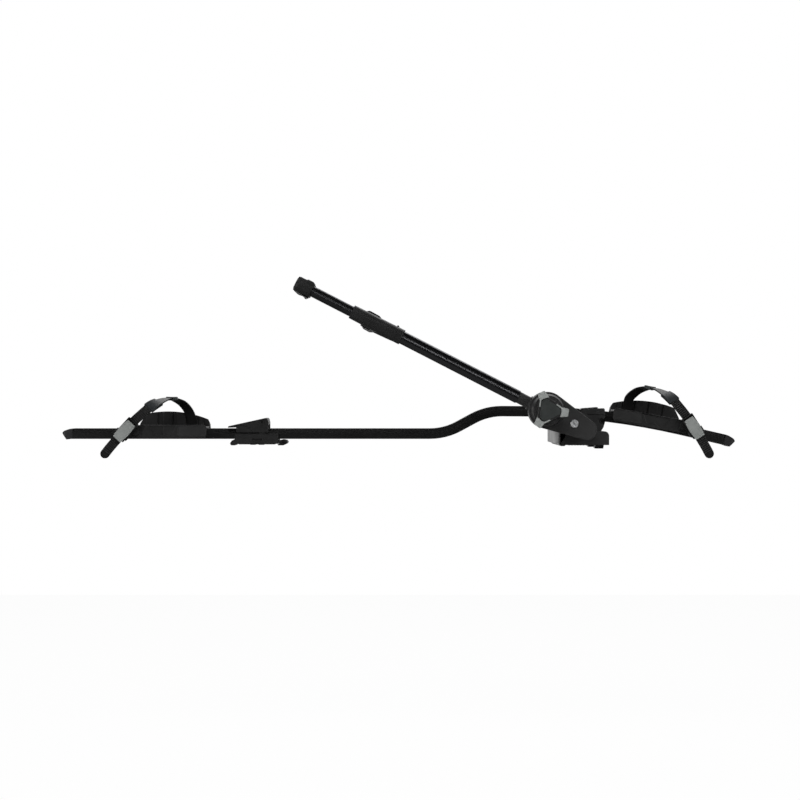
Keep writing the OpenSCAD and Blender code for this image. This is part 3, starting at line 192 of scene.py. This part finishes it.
softbox("key", (-0.6, -2.0, 2.9), (-0.35, 0, 0.15), 3.0, 2.0, 105, mirrored=False)
strip = softbox("strip", (-0.4, -3.2, 0.75), (-0.35, 0, 0.15), 4.0, 0.25, 16)
softbox("back", (-0.2, 1.8, 2.2), (-0.35, 0, 0.1), 2.5, 0.8, 20)
softbox("left", (-3.2, -2.0, 0.2), (-0.1, 0, 0.05), 1.2, 1.4, 24)
softbox("right", (2.4, -2.2, 0.7), (0.15, 0, 0.05), 1.2, 1.2, 24)

# %% Light the round pieces with the strip alone
lit_by_strip = bpy.data.collections.new("lit_by_strip")
for name in ("main_tube", "inner_tube", "dial_body", "dial_tabs", "lock_barrel", "lock_core"):
    lit_by_strip.objects.link(nodes[name])
strip.light_linking.receiver_collection = lit_by_strip

# %% [markdown]
# ## Moulded black plastic
# The feet, cradles, jaws and arm housing look like injection-moulded ASA and glass-filled nylon.
# A spark-eroded mould leaves a fine even grain, which spreads a highlight into a soft grey. The
# real grain is about a tenth of a millimetre, too fine to show, so it is drawn at 0.6 mm. One
# recipe serves all of them, each with its own grey, as the photograph shows them.

# %% Moulded plastic recipe
CLOUD_MM = 35.0


def moulded_plastic(name, colour, lighter, rough, grain_mm=0.6, depth_mm=0.06):
    """Lighter is the grey of rubbed, handled places, which show as broad faint clouds."""
    made = bpy.data.materials.new(name)
    made.use_nodes = True
    tree = made.node_tree
    tree.nodes.clear()
    at = add(tree, "ShaderNodeTexCoord").outputs["Object"]
    clouds = add(tree, "ShaderNodeTexNoise", {"Vector": at, "Scale": 1000 / CLOUD_MM, "Detail": 3.0,
                                              "Roughness": 0.6})
    tone = add(tree, "ShaderNodeValToRGB", {"Fac": clouds.outputs["Fac"]})
    tone.color_ramp.elements[0].position, tone.color_ramp.elements[0].color = 0.35, linear(colour)
    tone.color_ramp.elements[1].position, tone.color_ramp.elements[1].color = 0.75, linear(lighter)
    grain = add(tree, "ShaderNodeTexVoronoi", {"Vector": at, "Scale": 1000 / grain_mm},
                feature="SMOOTH_F1")
    polish = add(tree, "ShaderNodeMapRange", {"Value": clouds.outputs["Fac"], "From Min": 0.3,
                                              "From Max": 0.7, "To Min": rough - 0.05,
                                              "To Max": rough + 0.06})
    bump = add(tree, "ShaderNodeBump", {"Height": grain.outputs["Distance"], "Strength": 0.25,
                                        "Distance": depth_mm * MM})
    skin = add(tree, "ShaderNodeBsdfPrincipled", {
        "Base Color": tone.outputs["Color"], "Roughness": polish.outputs["Result"],
        "Normal": bump.outputs["Normal"], "IOR": 1.5})
    add(tree, "ShaderNodeOutputMaterial", {"Surface": skin.outputs[0]})
    return made


# %% The black plastics
black_asa = moulded_plastic("moulded_asa_black", "#1a1a1a", "#212121", 0.5)
foot_nylon = moulded_plastic("moulded_nylon_foot", "#272727", "#2d2d2d", 0.36)
housing_nylon = moulded_plastic("moulded_nylon_housing", "#282828", "#2d2d2d", 0.5)
dial_face_plastic = moulded_plastic("moulded_dial_face", "#2e3130", "#343736", 0.48)
cap_plastic = moulded_plastic("moulded_end_cap", "#202021", "#272728", 0.5)
label_plastic = moulded_plastic("bare_label_panel", "#252525", "#2a2a2a", 0.45, grain_mm=0.4,
                                depth_mm=0.03)
print("plastics:", black_asa.name, foot_nylon.name, housing_nylon.name)

# %% [markdown]
# The buckle plates and the dial's tabs are a satin grey plastic, and the strap keepers a darker
# one. It is the same recipe with a finer, shallower grain, for a smoother sheen.

# %% Grey plastics
grey_satin = moulded_plastic("satin_grey_plastic", "#828583", "#8d908e", 0.36, grain_mm=0.4,
                             depth_mm=0.02)
keeper_grey = moulded_plastic("keeper_grey_plastic", "#303333", "#3b3f3e", 0.4, grain_mm=0.4,
                              depth_mm=0.03)
print("greys:", grey_satin.name, keeper_grey.name)

# %% [markdown]
# ## Powder-coated aluminium
# The rail is an extrusion with a black coat, taken for powder coat. Powder melts into a film with
# a slight orange peel, dimples of one or two millimetres, so its reflections wobble softly. The
# same recipe, a shade darker, is the paint on the steel claw and screws.

# %% Powder coat
PEEL_MM = 1.6
DUST_MM = 60.0


def powder_coat(name, colour, rough):
    made = bpy.data.materials.new(name)
    made.use_nodes = True
    tree = made.node_tree
    tree.nodes.clear()
    at = add(tree, "ShaderNodeTexCoord").outputs["Object"]
    peel = add(tree, "ShaderNodeTexNoise", {"Vector": at, "Scale": 1000 / PEEL_MM, "Detail": 2.0})
    dust = add(tree, "ShaderNodeTexNoise", {"Vector": at, "Scale": 1000 / DUST_MM, "Detail": 4.0})
    polish = add(tree, "ShaderNodeMapRange", {"Value": dust.outputs["Fac"], "From Min": 0.3,
                                              "From Max": 0.7, "To Min": rough - 0.04,
                                              "To Max": rough + 0.06})
    bump = add(tree, "ShaderNodeBump", {"Height": peel.outputs["Fac"], "Strength": 0.35,
                                        "Distance": 0.05 * MM})
    skin = add(tree, "ShaderNodeBsdfPrincipled", {
        "Base Color": linear(colour), "Roughness": polish.outputs["Result"],
        "Normal": bump.outputs["Normal"], "IOR": 1.5})
    add(tree, "ShaderNodeOutputMaterial", {"Surface": skin.outputs[0]})
    return made


rail_coat = powder_coat("powder_coated_aluminium_black", "#131313", 0.4)
claw_coat = powder_coat("painted_steel_black", "#101010", 0.4)
print("coats:", rail_coat.name, claw_coat.name)

# %% [markdown]
# ## Anodised tubes
# The arm's tubes are taken for drawn aluminium with a black anodised skin. The dye sits in the
# metal itself, so the recipe is a dark metal. The drawn tube keeps faint lines along its length.
# Real ones are hair-fine, so they are drawn 4 mm wide and 300 mm long, and they change only the
# polish. The Mapping node is of the TEXTURE type: it turns the pattern before it stretches it, so
# the lines follow the tube. The POINT type stretches first, and the lines would lie level.

# %% Anodised tube
LINE_LONG, LINE_WIDE = 300 * MM, 4 * MM


def anodised(name, colour, rough, along):
    """Along is the tube's direction in degrees; the lines are stretched that way."""
    made = bpy.data.materials.new(name)
    made.use_nodes = True
    tree = made.node_tree
    tree.nodes.clear()
    at = add(tree, "ShaderNodeTexCoord").outputs["Object"]
    turned = add(tree, "ShaderNodeMapping", {
        "Vector": at, "Rotation": (0, math.radians(along), 0),
        "Scale": (LINE_LONG, LINE_WIDE, LINE_WIDE)}, vector_type="TEXTURE")
    lines = add(tree, "ShaderNodeTexNoise", {"Vector": turned.outputs[0], "Scale": 1.0,
                                             "Detail": 3.0})
    polish = add(tree, "ShaderNodeMapRange", {"Value": lines.outputs["Fac"], "From Min": 0.3,
                                              "From Max": 0.7, "To Min": rough - 0.02,
                                              "To Max": rough + 0.03})
    skin = add(tree, "ShaderNodeBsdfPrincipled", {
        "Base Color": linear(colour), "Roughness": polish.outputs["Result"], "Metallic": 1.0})
    add(tree, "ShaderNodeOutputMaterial", {"Surface": skin.outputs[0]})
    return made


ARM_ANGLE = 27.2
tube_finish = anodised("anodised_aluminium_black", "#525254", 0.27, ARM_ANGLE)
inner_finish = anodised("anodised_inner_tube", "#464648", 0.38, ARM_ANGLE)
print("tubes:", tube_finish.name, inner_finish.name)

# %% [markdown]
# ## Rubber and strap
# The pads on the jaws and under the feet are made as EPDM rubber: matt, a little dusty, nearly
# black. The ladder straps are a tougher, slicker thermoplastic. The crowns of their teeth are
# painted paler, a painted highlight that stands for the glints on the tooth edges, and are a little
# shinier, which is what makes the ladder readable. Real rubber grain is well under a tenth of a
# millimetre, so it is drawn at 0.8 mm to show at all.

# %% Rubber and strap
DUST_SPOT_MM = 9.0


def rubber(name, colour, lighter, rough, grain_mm=0.8):
    made = bpy.data.materials.new(name)
    made.use_nodes = True
    tree = made.node_tree
    tree.nodes.clear()
    at = add(tree, "ShaderNodeTexCoord").outputs["Object"]
    dust = add(tree, "ShaderNodeTexNoise", {"Vector": at, "Scale": 1000 / DUST_SPOT_MM,
                                            "Detail": 5.0})
    tone = add(tree, "ShaderNodeValToRGB", {"Fac": dust.outputs["Fac"]})
    tone.color_ramp.elements[0].position, tone.color_ramp.elements[0].color = 0.3, linear(colour)
    tone.color_ramp.elements[1].position, tone.color_ramp.elements[1].color = 0.8, linear(lighter)
    grain = add(tree, "ShaderNodeTexNoise", {"Vector": at, "Scale": 1000 / grain_mm, "Detail": 2.0})
    bump = add(tree, "ShaderNodeBump", {"Height": grain.outputs["Fac"], "Strength": 0.4,
                                        "Distance": 0.06 * MM})
    skin = add(tree, "ShaderNodeBsdfPrincipled", {
        "Base Color": tone.outputs["Color"], "Roughness": rough, "Normal": bump.outputs["Normal"],
        "IOR": 1.52, "Sheen Weight": 0.05, "Sheen Roughness": 0.5})
    add(tree, "ShaderNodeOutputMaterial", {"Surface": skin.outputs[0]})
    return made


pad_rubber = rubber("epdm_rubber_black", "#0c0c0c", "#131313", 0.55)
rim_rubber = rubber("soft_rim_rubber", "#1d2022", "#232628", 0.45)
strap_plastic = rubber("ladder_strap_thermoplastic", "#0a0a0a", "#0f0f0f", 0.45)
# The crowns' paler grey is a painted highlight for the glints on the tooth edges; only their lower
# roughness is real shine.
strap_crowns_highlight = rubber("ladder_strap_teeth_painted_highlight", "#2a2a2a", "#343434", 0.35)
print("rubbers:", pad_rubber.name, rim_rubber.name, strap_plastic.name, strap_crowns_highlight.name)

# %% [markdown]
# ## Metals
# Screws and pins are made as zinc-plated steel, the lock as satin chrome, and the nut inside the
# arm as brass. They need no colour pattern, only a fine variation of their polish, so that a
# highlight breaks up as it does on a turned part. Tool marks are finer than the 2.5 mm used here,
# which is as fine as still shows.

# %% Metals
MARK_MM = 2.5


def metal(name, colour, rough):
    made = bpy.data.materials.new(name)
    made.use_nodes = True
    tree = made.node_tree
    tree.nodes.clear()
    at = add(tree, "ShaderNodeTexCoord").outputs["Object"]
    marks = add(tree, "ShaderNodeTexNoise", {"Vector": at, "Scale": 1000 / MARK_MM, "Detail": 4.0})
    polish = add(tree, "ShaderNodeMapRange", {"Value": marks.outputs["Fac"], "From Min": 0.3,
                                              "From Max": 0.7, "To Min": rough - 0.06,
                                              "To Max": rough + 0.08})
    bump = add(tree, "ShaderNodeBump", {"Height": marks.outputs["Fac"], "Strength": 0.25,
                                        "Distance": 0.02 * MM})
    skin = add(tree, "ShaderNodeBsdfPrincipled", {
        "Base Color": linear(colour), "Roughness": polish.outputs["Result"], "Metallic": 1.0,
        "Normal": bump.outputs["Normal"]})
    add(tree, "ShaderNodeOutputMaterial", {"Surface": skin.outputs[0]})
    return made


zinc_steel = metal("zinc_plated_steel", "#b9bbbd", 0.36)
lock_chrome = metal("satin_chrome_lock", "#d2d3d4", 0.42)
nut_brass = metal("machined_brass", "#c9a35a", 0.3)
print("metals:", zinc_steel.name, lock_chrome.name, nut_brass.name)

# %% [markdown]
# ## The finish of each CAD solid
# One table gives every node its material and the radius of its edges in millimetres. Parts with
# fine steps get a small radius, so that the rounding never eats the step. The lock's core has
# none, because a bevel spoils its narrow keyway.

# %% Table of finishes
FINISH = {
    "rail": (rail_coat, 0.3), "rail_end_cap_rear": (cap_plastic, 1.2),
    "rail_end_cap_front": (cap_plastic, 1.2), "front_foot_base": (foot_nylon, 0.8),
    "front_bar_pad": (pad_rubber, 0.3), "front_bar_claw": (claw_coat, 0.6),
    "front_clamp_bolt": (zinc_steel, 0.3), "rail_bracket": (foot_nylon, 0.8),
    "bracket_cover": (foot_nylon, 0.5), "bracket_bolt": (claw_coat, 0.4),
    "arm_pivot_shaft": (zinc_steel, 0.4), "rear_saddle": (black_asa, 0.6),
    "rear_bar_pad": (pad_rubber, 0.3), "rear_glider": (zinc_steel, 0.3),
    "rear_lever": (black_asa, 0.9), "rear_lever_pin": (claw_coat, 0.3),
    "rear_bar_claw": (black_asa, 0.7), "rear_claw_screw": (claw_coat, 0.3),
    "arm_outer_housing": (housing_nylon, 1.2), "arm_inner_housing": (housing_nylon, 0.8),
    "housing_screws": (zinc_steel, 0.2), "main_tube": (tube_finish, 0.2),
    "lower_jaw": (black_asa, 0.6), "lower_jaw_pad": (pad_rubber, 0.8),
    "lock_barrel": (lock_chrome, 0.3), "lock_core": (lock_chrome, 0),
    "dial_body": (black_asa, 1.0), "dial_face": (dial_face_plastic, 0.8),
    "dial_tabs": (grey_satin, 0.6), "dial_shaft": (zinc_steel, 0.2),
    "drive_screw": (zinc_steel, 0.2), "inner_tube": (inner_finish, 0.2),
    "travel_nut": (nut_brass, 0.2), "upper_jaw": (black_asa, 1.5),
    "upper_jaw_pad": (pad_rubber, 0.8),
}
for end in ("front", "rear"):
    FINISH.update({
        end + "_cradle": (black_asa, 0.6), end + "_label_insert": (label_plastic, 0.3),
        end + "_cradle_bolts": (zinc_steel, 0.3), end + "_rail_nuts": (zinc_steel, 0.2),
        end + "_strap": (strap_plastic, 0.5), end + "_rim_pad": (rim_rubber, 0.6),
        end + "_strap_keeper": (keeper_grey, 0.6), end + "_buckle_frame": (black_asa, 0.5),
        end + "_buckle_lever": (grey_satin, 0.6), end + "_buckle_pin": (zinc_steel, 0.2),
    })
print("finishes for", len(FINISH), "nodes")

# %% [markdown]
# A CAD mesh brings its own normals, which suit its sharp edges and not the rounded ones. This
# small node tree takes them off, shades the piece smooth, and keeps sharp each edge that bends
# more than the given angle. It comes after the bevel, so it sees the rounded shape.

# %% Shading by angle
def shading_group(angle):
    tree = bpy.data.node_groups.new("smooth_by_angle", "GeometryNodeTree")
    tree.interface.new_socket("Geometry", in_out="INPUT", socket_type="NodeSocketGeometry")
    tree.interface.new_socket("Geometry", in_out="OUTPUT", socket_type="NodeSocketGeometry")
    start = add(tree, "NodeGroupInput")
    bare = add(tree, "GeometryNodeRemoveAttribute", {"Geometry": start.outputs[0],
                                                     "Name": "custom_normal"})
    all_smooth = add(tree, "GeometryNodeSetShadeSmooth", {"Geometry": bare.outputs[0],
                                                          "Shade Smooth": True}, domain="FACE")
    bend = add(tree, "GeometryNodeInputMeshEdgeAngle")
    soft = add(tree, "FunctionNodeCompare", {"A": bend.outputs["Unsigned Angle"], "B": angle},
               operation="LESS_EQUAL")
    edges = add(tree, "GeometryNodeSetShadeSmooth", {
        "Geometry": all_smooth.outputs[0], "Shade Smooth": soft.outputs[0]}, domain="EDGE")
    add(tree, "NodeGroupOutput", {"Geometry": edges.outputs[0]})
    return tree


smooth_shading = shading_group(math.radians(34))
print("shading tree with", len(smooth_shading.nodes), "nodes")

# %% [markdown]
# Every moulded or cast edge has a small radius, and light catches on it. The CAD has sharp edges
# and loose triangles, so a Weld modifier joins them, and a planar Decimate dissolves the
# triangles of each flat face into one face, because stray edges across a face spoil a bevel. The
# Bevel then rounds each edge over thirty degrees, and weighted normals keep the flat faces flat.
#
# Bevel's overlap clamp shrinks every bevel of a mesh to what its tightest corner allows, nearly
# nothing on a detailed part. So it is off, except on the rail, its caps and the tubes.

# %% Rounded edges
CLAMPED = ("rail", "rail_end_cap_rear", "rail_end_cap_front", "main_tube", "inner_tube")


def round_edges(piece, radius_mm, segments=2, clamp=False):
    weld = piece.modifiers.new("weld", "WELD")
    weld.merge_threshold = 0.00001
    flat = piece.modifiers.new("flat_faces", "DECIMATE")
    flat.decimate_type = "DISSOLVE"
    flat.angle_limit = math.radians(1)
    bevel = piece.modifiers.new("bevel", "BEVEL")
    bevel.width = radius_mm * MM
    bevel.segments = segments
    bevel.limit_method = "ANGLE"
    bevel.angle_limit = math.radians(30)
    bevel.use_clamp_overlap = clamp
    shading = piece.modifiers.new("shading", "NODES")
    shading.node_group = smooth_shading
    weighted = piece.modifiers.new("flat_faces_first", "WEIGHTED_NORMAL")
    weighted.keep_sharp = True


# %% Give every node its finish
for name, (finish, radius) in FINISH.items():
    piece = nodes[name]
    piece.data.materials.clear()
    piece.data.materials.append(finish)
    if radius:
        round_edges(piece, radius, clamp=name in CLAMPED)
print("finished nodes:", len(FINISH), "without a finish:", sorted(set(nodes) - set(FINISH)))

# %% [markdown]
# ## Ladder straps
# Each wheel is held by a ladder strap: a flat moulded band with teeth across its outer face that
# a buckle's lever grips. It stands up inside the cradle's far wall, arches over the rim, twists to
# lie flat against the near side, runs through the buckle and ends in a rounded tail. It is modelled
# flat, where its teeth are easy to raise, and then laid along the same route as its CAD solid.

# %% Where the two cradles stand
RAIL_TOP = 35.2
REAR_CRADLE_X = -878.5
FRONT_TILT = 10.2
FRONT_ANCHOR = (-133.0 + 1611.2 * math.sin(math.radians(FRONT_TILT)),
                72.5 - 1600.0 + 1611.2 * math.cos(math.radians(FRONT_TILT)))
BUCKLE = (-92.0, -62.0, -5.0)
BUCKLE_ANGLE = 47.0


def in_rear(u, y, w):
    return Vector((REAR_CRADLE_X + u, y, RAIL_TOP + w)) * MM


def in_front(u, y, w):
    c, s = math.cos(math.radians(FRONT_TILT)), math.sin(math.radians(FRONT_TILT))
    return Vector((FRONT_ANCHOR[0] - u * c + w * s, y, FRONT_ANCHOR[1] + u * s + w * c)) * MM


print("cradle frames:", [round(v, 4) for v in in_rear(0, 0, 0)],
      [round(v, 4) for v in in_front(0, 0, 0)])


# %% Points on the strap's way
def strap_points(lean):
    """Along the rail, across it, over it, and the turn of the strap's outer face in degrees."""
    u, w, y = BUCKLE[0], BUCKLE[2], BUCKLE[1]
    c, s = math.cos(math.radians(BUCKLE_ANGLE)), math.sin(math.radians(BUCKLE_ANGLE))
    return [
        (41, 39.2, -1, 90), (41.5, 38.8, 12, 88), (35 + lean, 34.8, 34, 68),
        (22 + lean, 25, 52.6, 38),
        (7 + lean, 12, 61.8, 15), (-1 + lean * 0.7, 0, 64.6, 0), (-13 + lean * 0.3, -13, 62.6, -15),
        (-27, -31, 55.5, -42), (-41, -47, 45.5, -66), (-56, y + 4, 31.5, -84),
        (u + 29 * c, y, w + 29 * s, -90), (u, y, w, -90), (u - 24 * c, y, w - 24 * s, -90),
        (u - 32, y, w - 35.5, -90), (u - 48, y, w - 56, -90),
    ]


print("points on the strap's way:", len(strap_points(0)))


# %% A smooth route through the points
def smooth_route(points, place, steps=24):
    """Places, headings and outer faces along a smooth curve through the points, with the length
    from its start, in the row frame."""
    rows = []
    last = len(points) - 1
    for i in range(last):
        a, b, c, d = (points[max(i - 1, 0)], points[i], points[i + 1], points[min(i + 2, last)])
        for k in range(steps + (1 if i == last - 1 else 0)):
            t = k / steps
            rows.append((i + t, [0.5 * (2 * q + (r - p) * t + (2 * p - 5 * q + 4 * r - e) * t * t
                                        + (3 * q - p - 3 * r + e) * t ** 3)
                                 for p, q, r, e in zip(a, b, c, d)]))
    at = [place(*row[:3]) for _, row in rows]
    out, length = [], 0.0
    for i, (param, row) in enumerate(rows):
        heading = (at[min(i + 1, len(at) - 1)] - at[max(i - 1, 0)]).normalized()
        turn = math.radians(row[3])
        face = place(0, math.sin(turn), math.cos(turn)) - place(0, 0, 0)
        face = (face - heading * face.dot(heading)).normalized()
        length += (at[i] - at[i - 1]).length if i else 0.0
        out.append((length, param, at[i], heading, face))
    return out


def length_at(route, param):
    return min(route, key=lambda row: abs(row[1] - param))[0]


FRONT_LEAN = 8
routes = {"rear": smooth_route(strap_points(0), in_rear),
          "front": smooth_route(strap_points(FRONT_LEAN), in_front)}
print("strap lengths:", {end: round(route[-1][0], 4) for end, route in routes.items()})


# %% Lay a flat piece along a route
def lay_along(bm, route):
    """Moves a flat piece's vertices onto a route: x runs along it, y across, z out of its face."""
    k = 0
    for vert in sorted(bm.verts, key=lambda v: v.co.x):
        x, y, z = vert.co
        while k < len(route) - 2 and route[k + 1][0] < x:
            k += 1
        a, b = route[k], route[k + 1]
        f = (x - a[0]) / (b[0] - a[0])
        spot = a[2].lerp(b[2], f)
        face = a[4].lerp(b[4], f).normalized()
        side = a[3].lerp(b[3], f).normalized().cross(face)
        vert.co = spot + side * y + face * z


print("lay_along bends a flat piece to its route")


# %% Turn a bmesh into a piece
SHARP_FROM = 38


def make_piece(name, bm, finish, body, bevel_mm=0.0, segments=2):
    bmesh.ops.remove_doubles(bm, verts=bm.verts, dist=0.000001)
    bmesh.ops.recalc_face_normals(bm, faces=bm.faces)
    for face in bm.faces:
        face.smooth = True
    for edge in bm.edges:
        bend = edge.calc_face_angle(0.0) if len(edge.link_faces) == 2 else math.pi
        edge.smooth = bend < math.radians(SHARP_FROM)
    mesh = bpy.data.meshes.new(name)
    bm.to_mesh(mesh)
    bm.free()
    mesh.materials.append(finish)
    made = bpy.data.objects.new(name, mesh)
    bpy.context.collection.objects.link(made)
    if bevel_mm:
        round_edges(made, bevel_mm, segments)
    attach(made, body)
    return made


print("a new piece is sharp over", SHARP_FROM, "degrees")

# %% [markdown]
# The strap is a long bar, cut across at every half pitch. Each second strip of its outer face is
# inset and raised into a tooth, 4.1 mm from the next. The teeth stop before the anchor and before
# the tail. Their crowns carry the paler finish, a painted highlight for the glints on the tooth
# edges.

# %% Model and lay the straps
STRAP_WIDE, STRAP_THICK, TOOTH_PITCH = 20.0, 2.8, 4.1
TOOTH_SLOPE, TOOTH_HIGH = 0.5, 1.1
FIRST_TOOTH_AT, BARE_TAIL = 7.6, 13


def strap_piece(end):
    route = routes[end]
    total = route[-1][0]
    bm = bmesh.new()
    bmesh.ops.create_cube(bm, size=1.0)
    bmesh.ops.scale(bm, vec=(total, STRAP_WIDE * MM, STRAP_THICK * MM), verts=bm.verts)
    bmesh.ops.translate(bm, vec=(total / 2, 0, 0), verts=bm.verts)
    long_edges = [e for e in bm.edges if abs(e.verts[0].co.x - e.verts[1].co.x) > total / 2]
    teeth = int(total / MM / TOOTH_PITCH)
    bmesh.ops.subdivide_edges(bm, edges=long_edges, cuts=2 * teeth - 1, use_grid_fill=True)
    step = total / (2 * teeth)
    first, last = length_at(route, FIRST_TOOTH_AT), total - BARE_TAIL * MM
    crowns = []
    for face in bm.faces:
        centre = face.calc_center_median()
        if face.normal.z > 0.9 and first < centre.x < last and int(centre.x / step) % 2 == 0:
            crowns.append(face)
    bmesh.ops.inset_individual(bm, faces=crowns, thickness=TOOTH_SLOPE * MM, depth=TOOTH_HIGH * MM)
    # the tail's round end
    r = STRAP_WIDE / 2 * MM
    for vert in bm.verts:
        past = vert.co.x - (total - r)
        if past > 0:
            vert.co.y *= max(0.25, math.sqrt(max(0.0, 1 - (past / r) ** 2)))
    lay_along(bm, route)
    body = body_of_node[end + "_strap"]
    # The crowns get the paler material, a painted highlight.
    for face in crowns:
        face.material_index = 1
    made = make_piece(end + "_ladder_strap", bm, strap_plastic, body)
    made.data.materials.append(strap_crowns_highlight)
    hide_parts(end + "_strap")
    return made, len(crowns)


for end in ("rear", "front"):
    made, count = strap_piece(end)
    print(made.name, "with", count, "teeth")


# %% [markdown]
# The rim pad is a soft rubber sleeve that slides along the strap, so that the strap doesn't mark
# the wheel's rim. The keeper is a small stiff loop beside it. Both are tubes of a flat section: a
# block whose ends are opened and joined by an inner wall, bent along the strap with it.

# %% Rim pads and keepers
def sleeve_piece(name, route, start, stop, wide, thick, wall, finish, node, crown=0.0):
    s0, s1 = length_at(route, start), length_at(route, stop)
    bm = bmesh.new()
    bmesh.ops.create_cube(bm, size=1.0)
    bmesh.ops.scale(bm, vec=(s1 - s0, wide * MM, thick * MM), verts=bm.verts)
    ends = [f for f in bm.faces if abs(f.normal.x) > 0.9]
    bmesh.ops.inset_individual(bm, faces=ends, thickness=wall * MM, depth=0.0)
    rims = [e for f in ends for e in f.edges]
    bmesh.ops.delete(bm, geom=ends, context="FACES_ONLY")
    bmesh.ops.bridge_loops(bm, edges=rims)
    long_edges = [e for e in bm.edges if abs(e.verts[0].co.x - e.verts[1].co.x) > (s1 - s0) / 2]
    cuts = max(3, int((s1 - s0) / MM / 3))
    bmesh.ops.subdivide_edges(bm, edges=long_edges, cuts=cuts, use_grid_fill=True)
    half = (s1 - s0) / 2
    for vert in bm.verts:
        swell = 1 + crown * (1 - (vert.co.x / half) ** 2)
        if abs(vert.co.z) > (thick / 2 - 0.1) * MM:
            vert.co.z *= swell
    bmesh.ops.translate(bm, vec=((s0 + s1) / 2, 0, 0), verts=bm.verts)
    lay_along(bm, route)
    made = make_piece(name, bm, finish, body_of_node[node], bevel_mm=0.7, segments=3)
    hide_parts(node)
    return made


for end, route in routes.items():
    sleeve_piece(end + "_soft_rim_pad", route, 6.8, 8.15, 25, 7.2, 2.1, rim_rubber,
                 end + "_rim_pad", crown=0.1)
    sleeve_piece(end + "_loop_keeper", route, 4.5, 5.25, 25, 7.0, 2.0, keeper_grey,
                 end + "_strap_keeper")
print("rim pads and keepers laid on both straps")
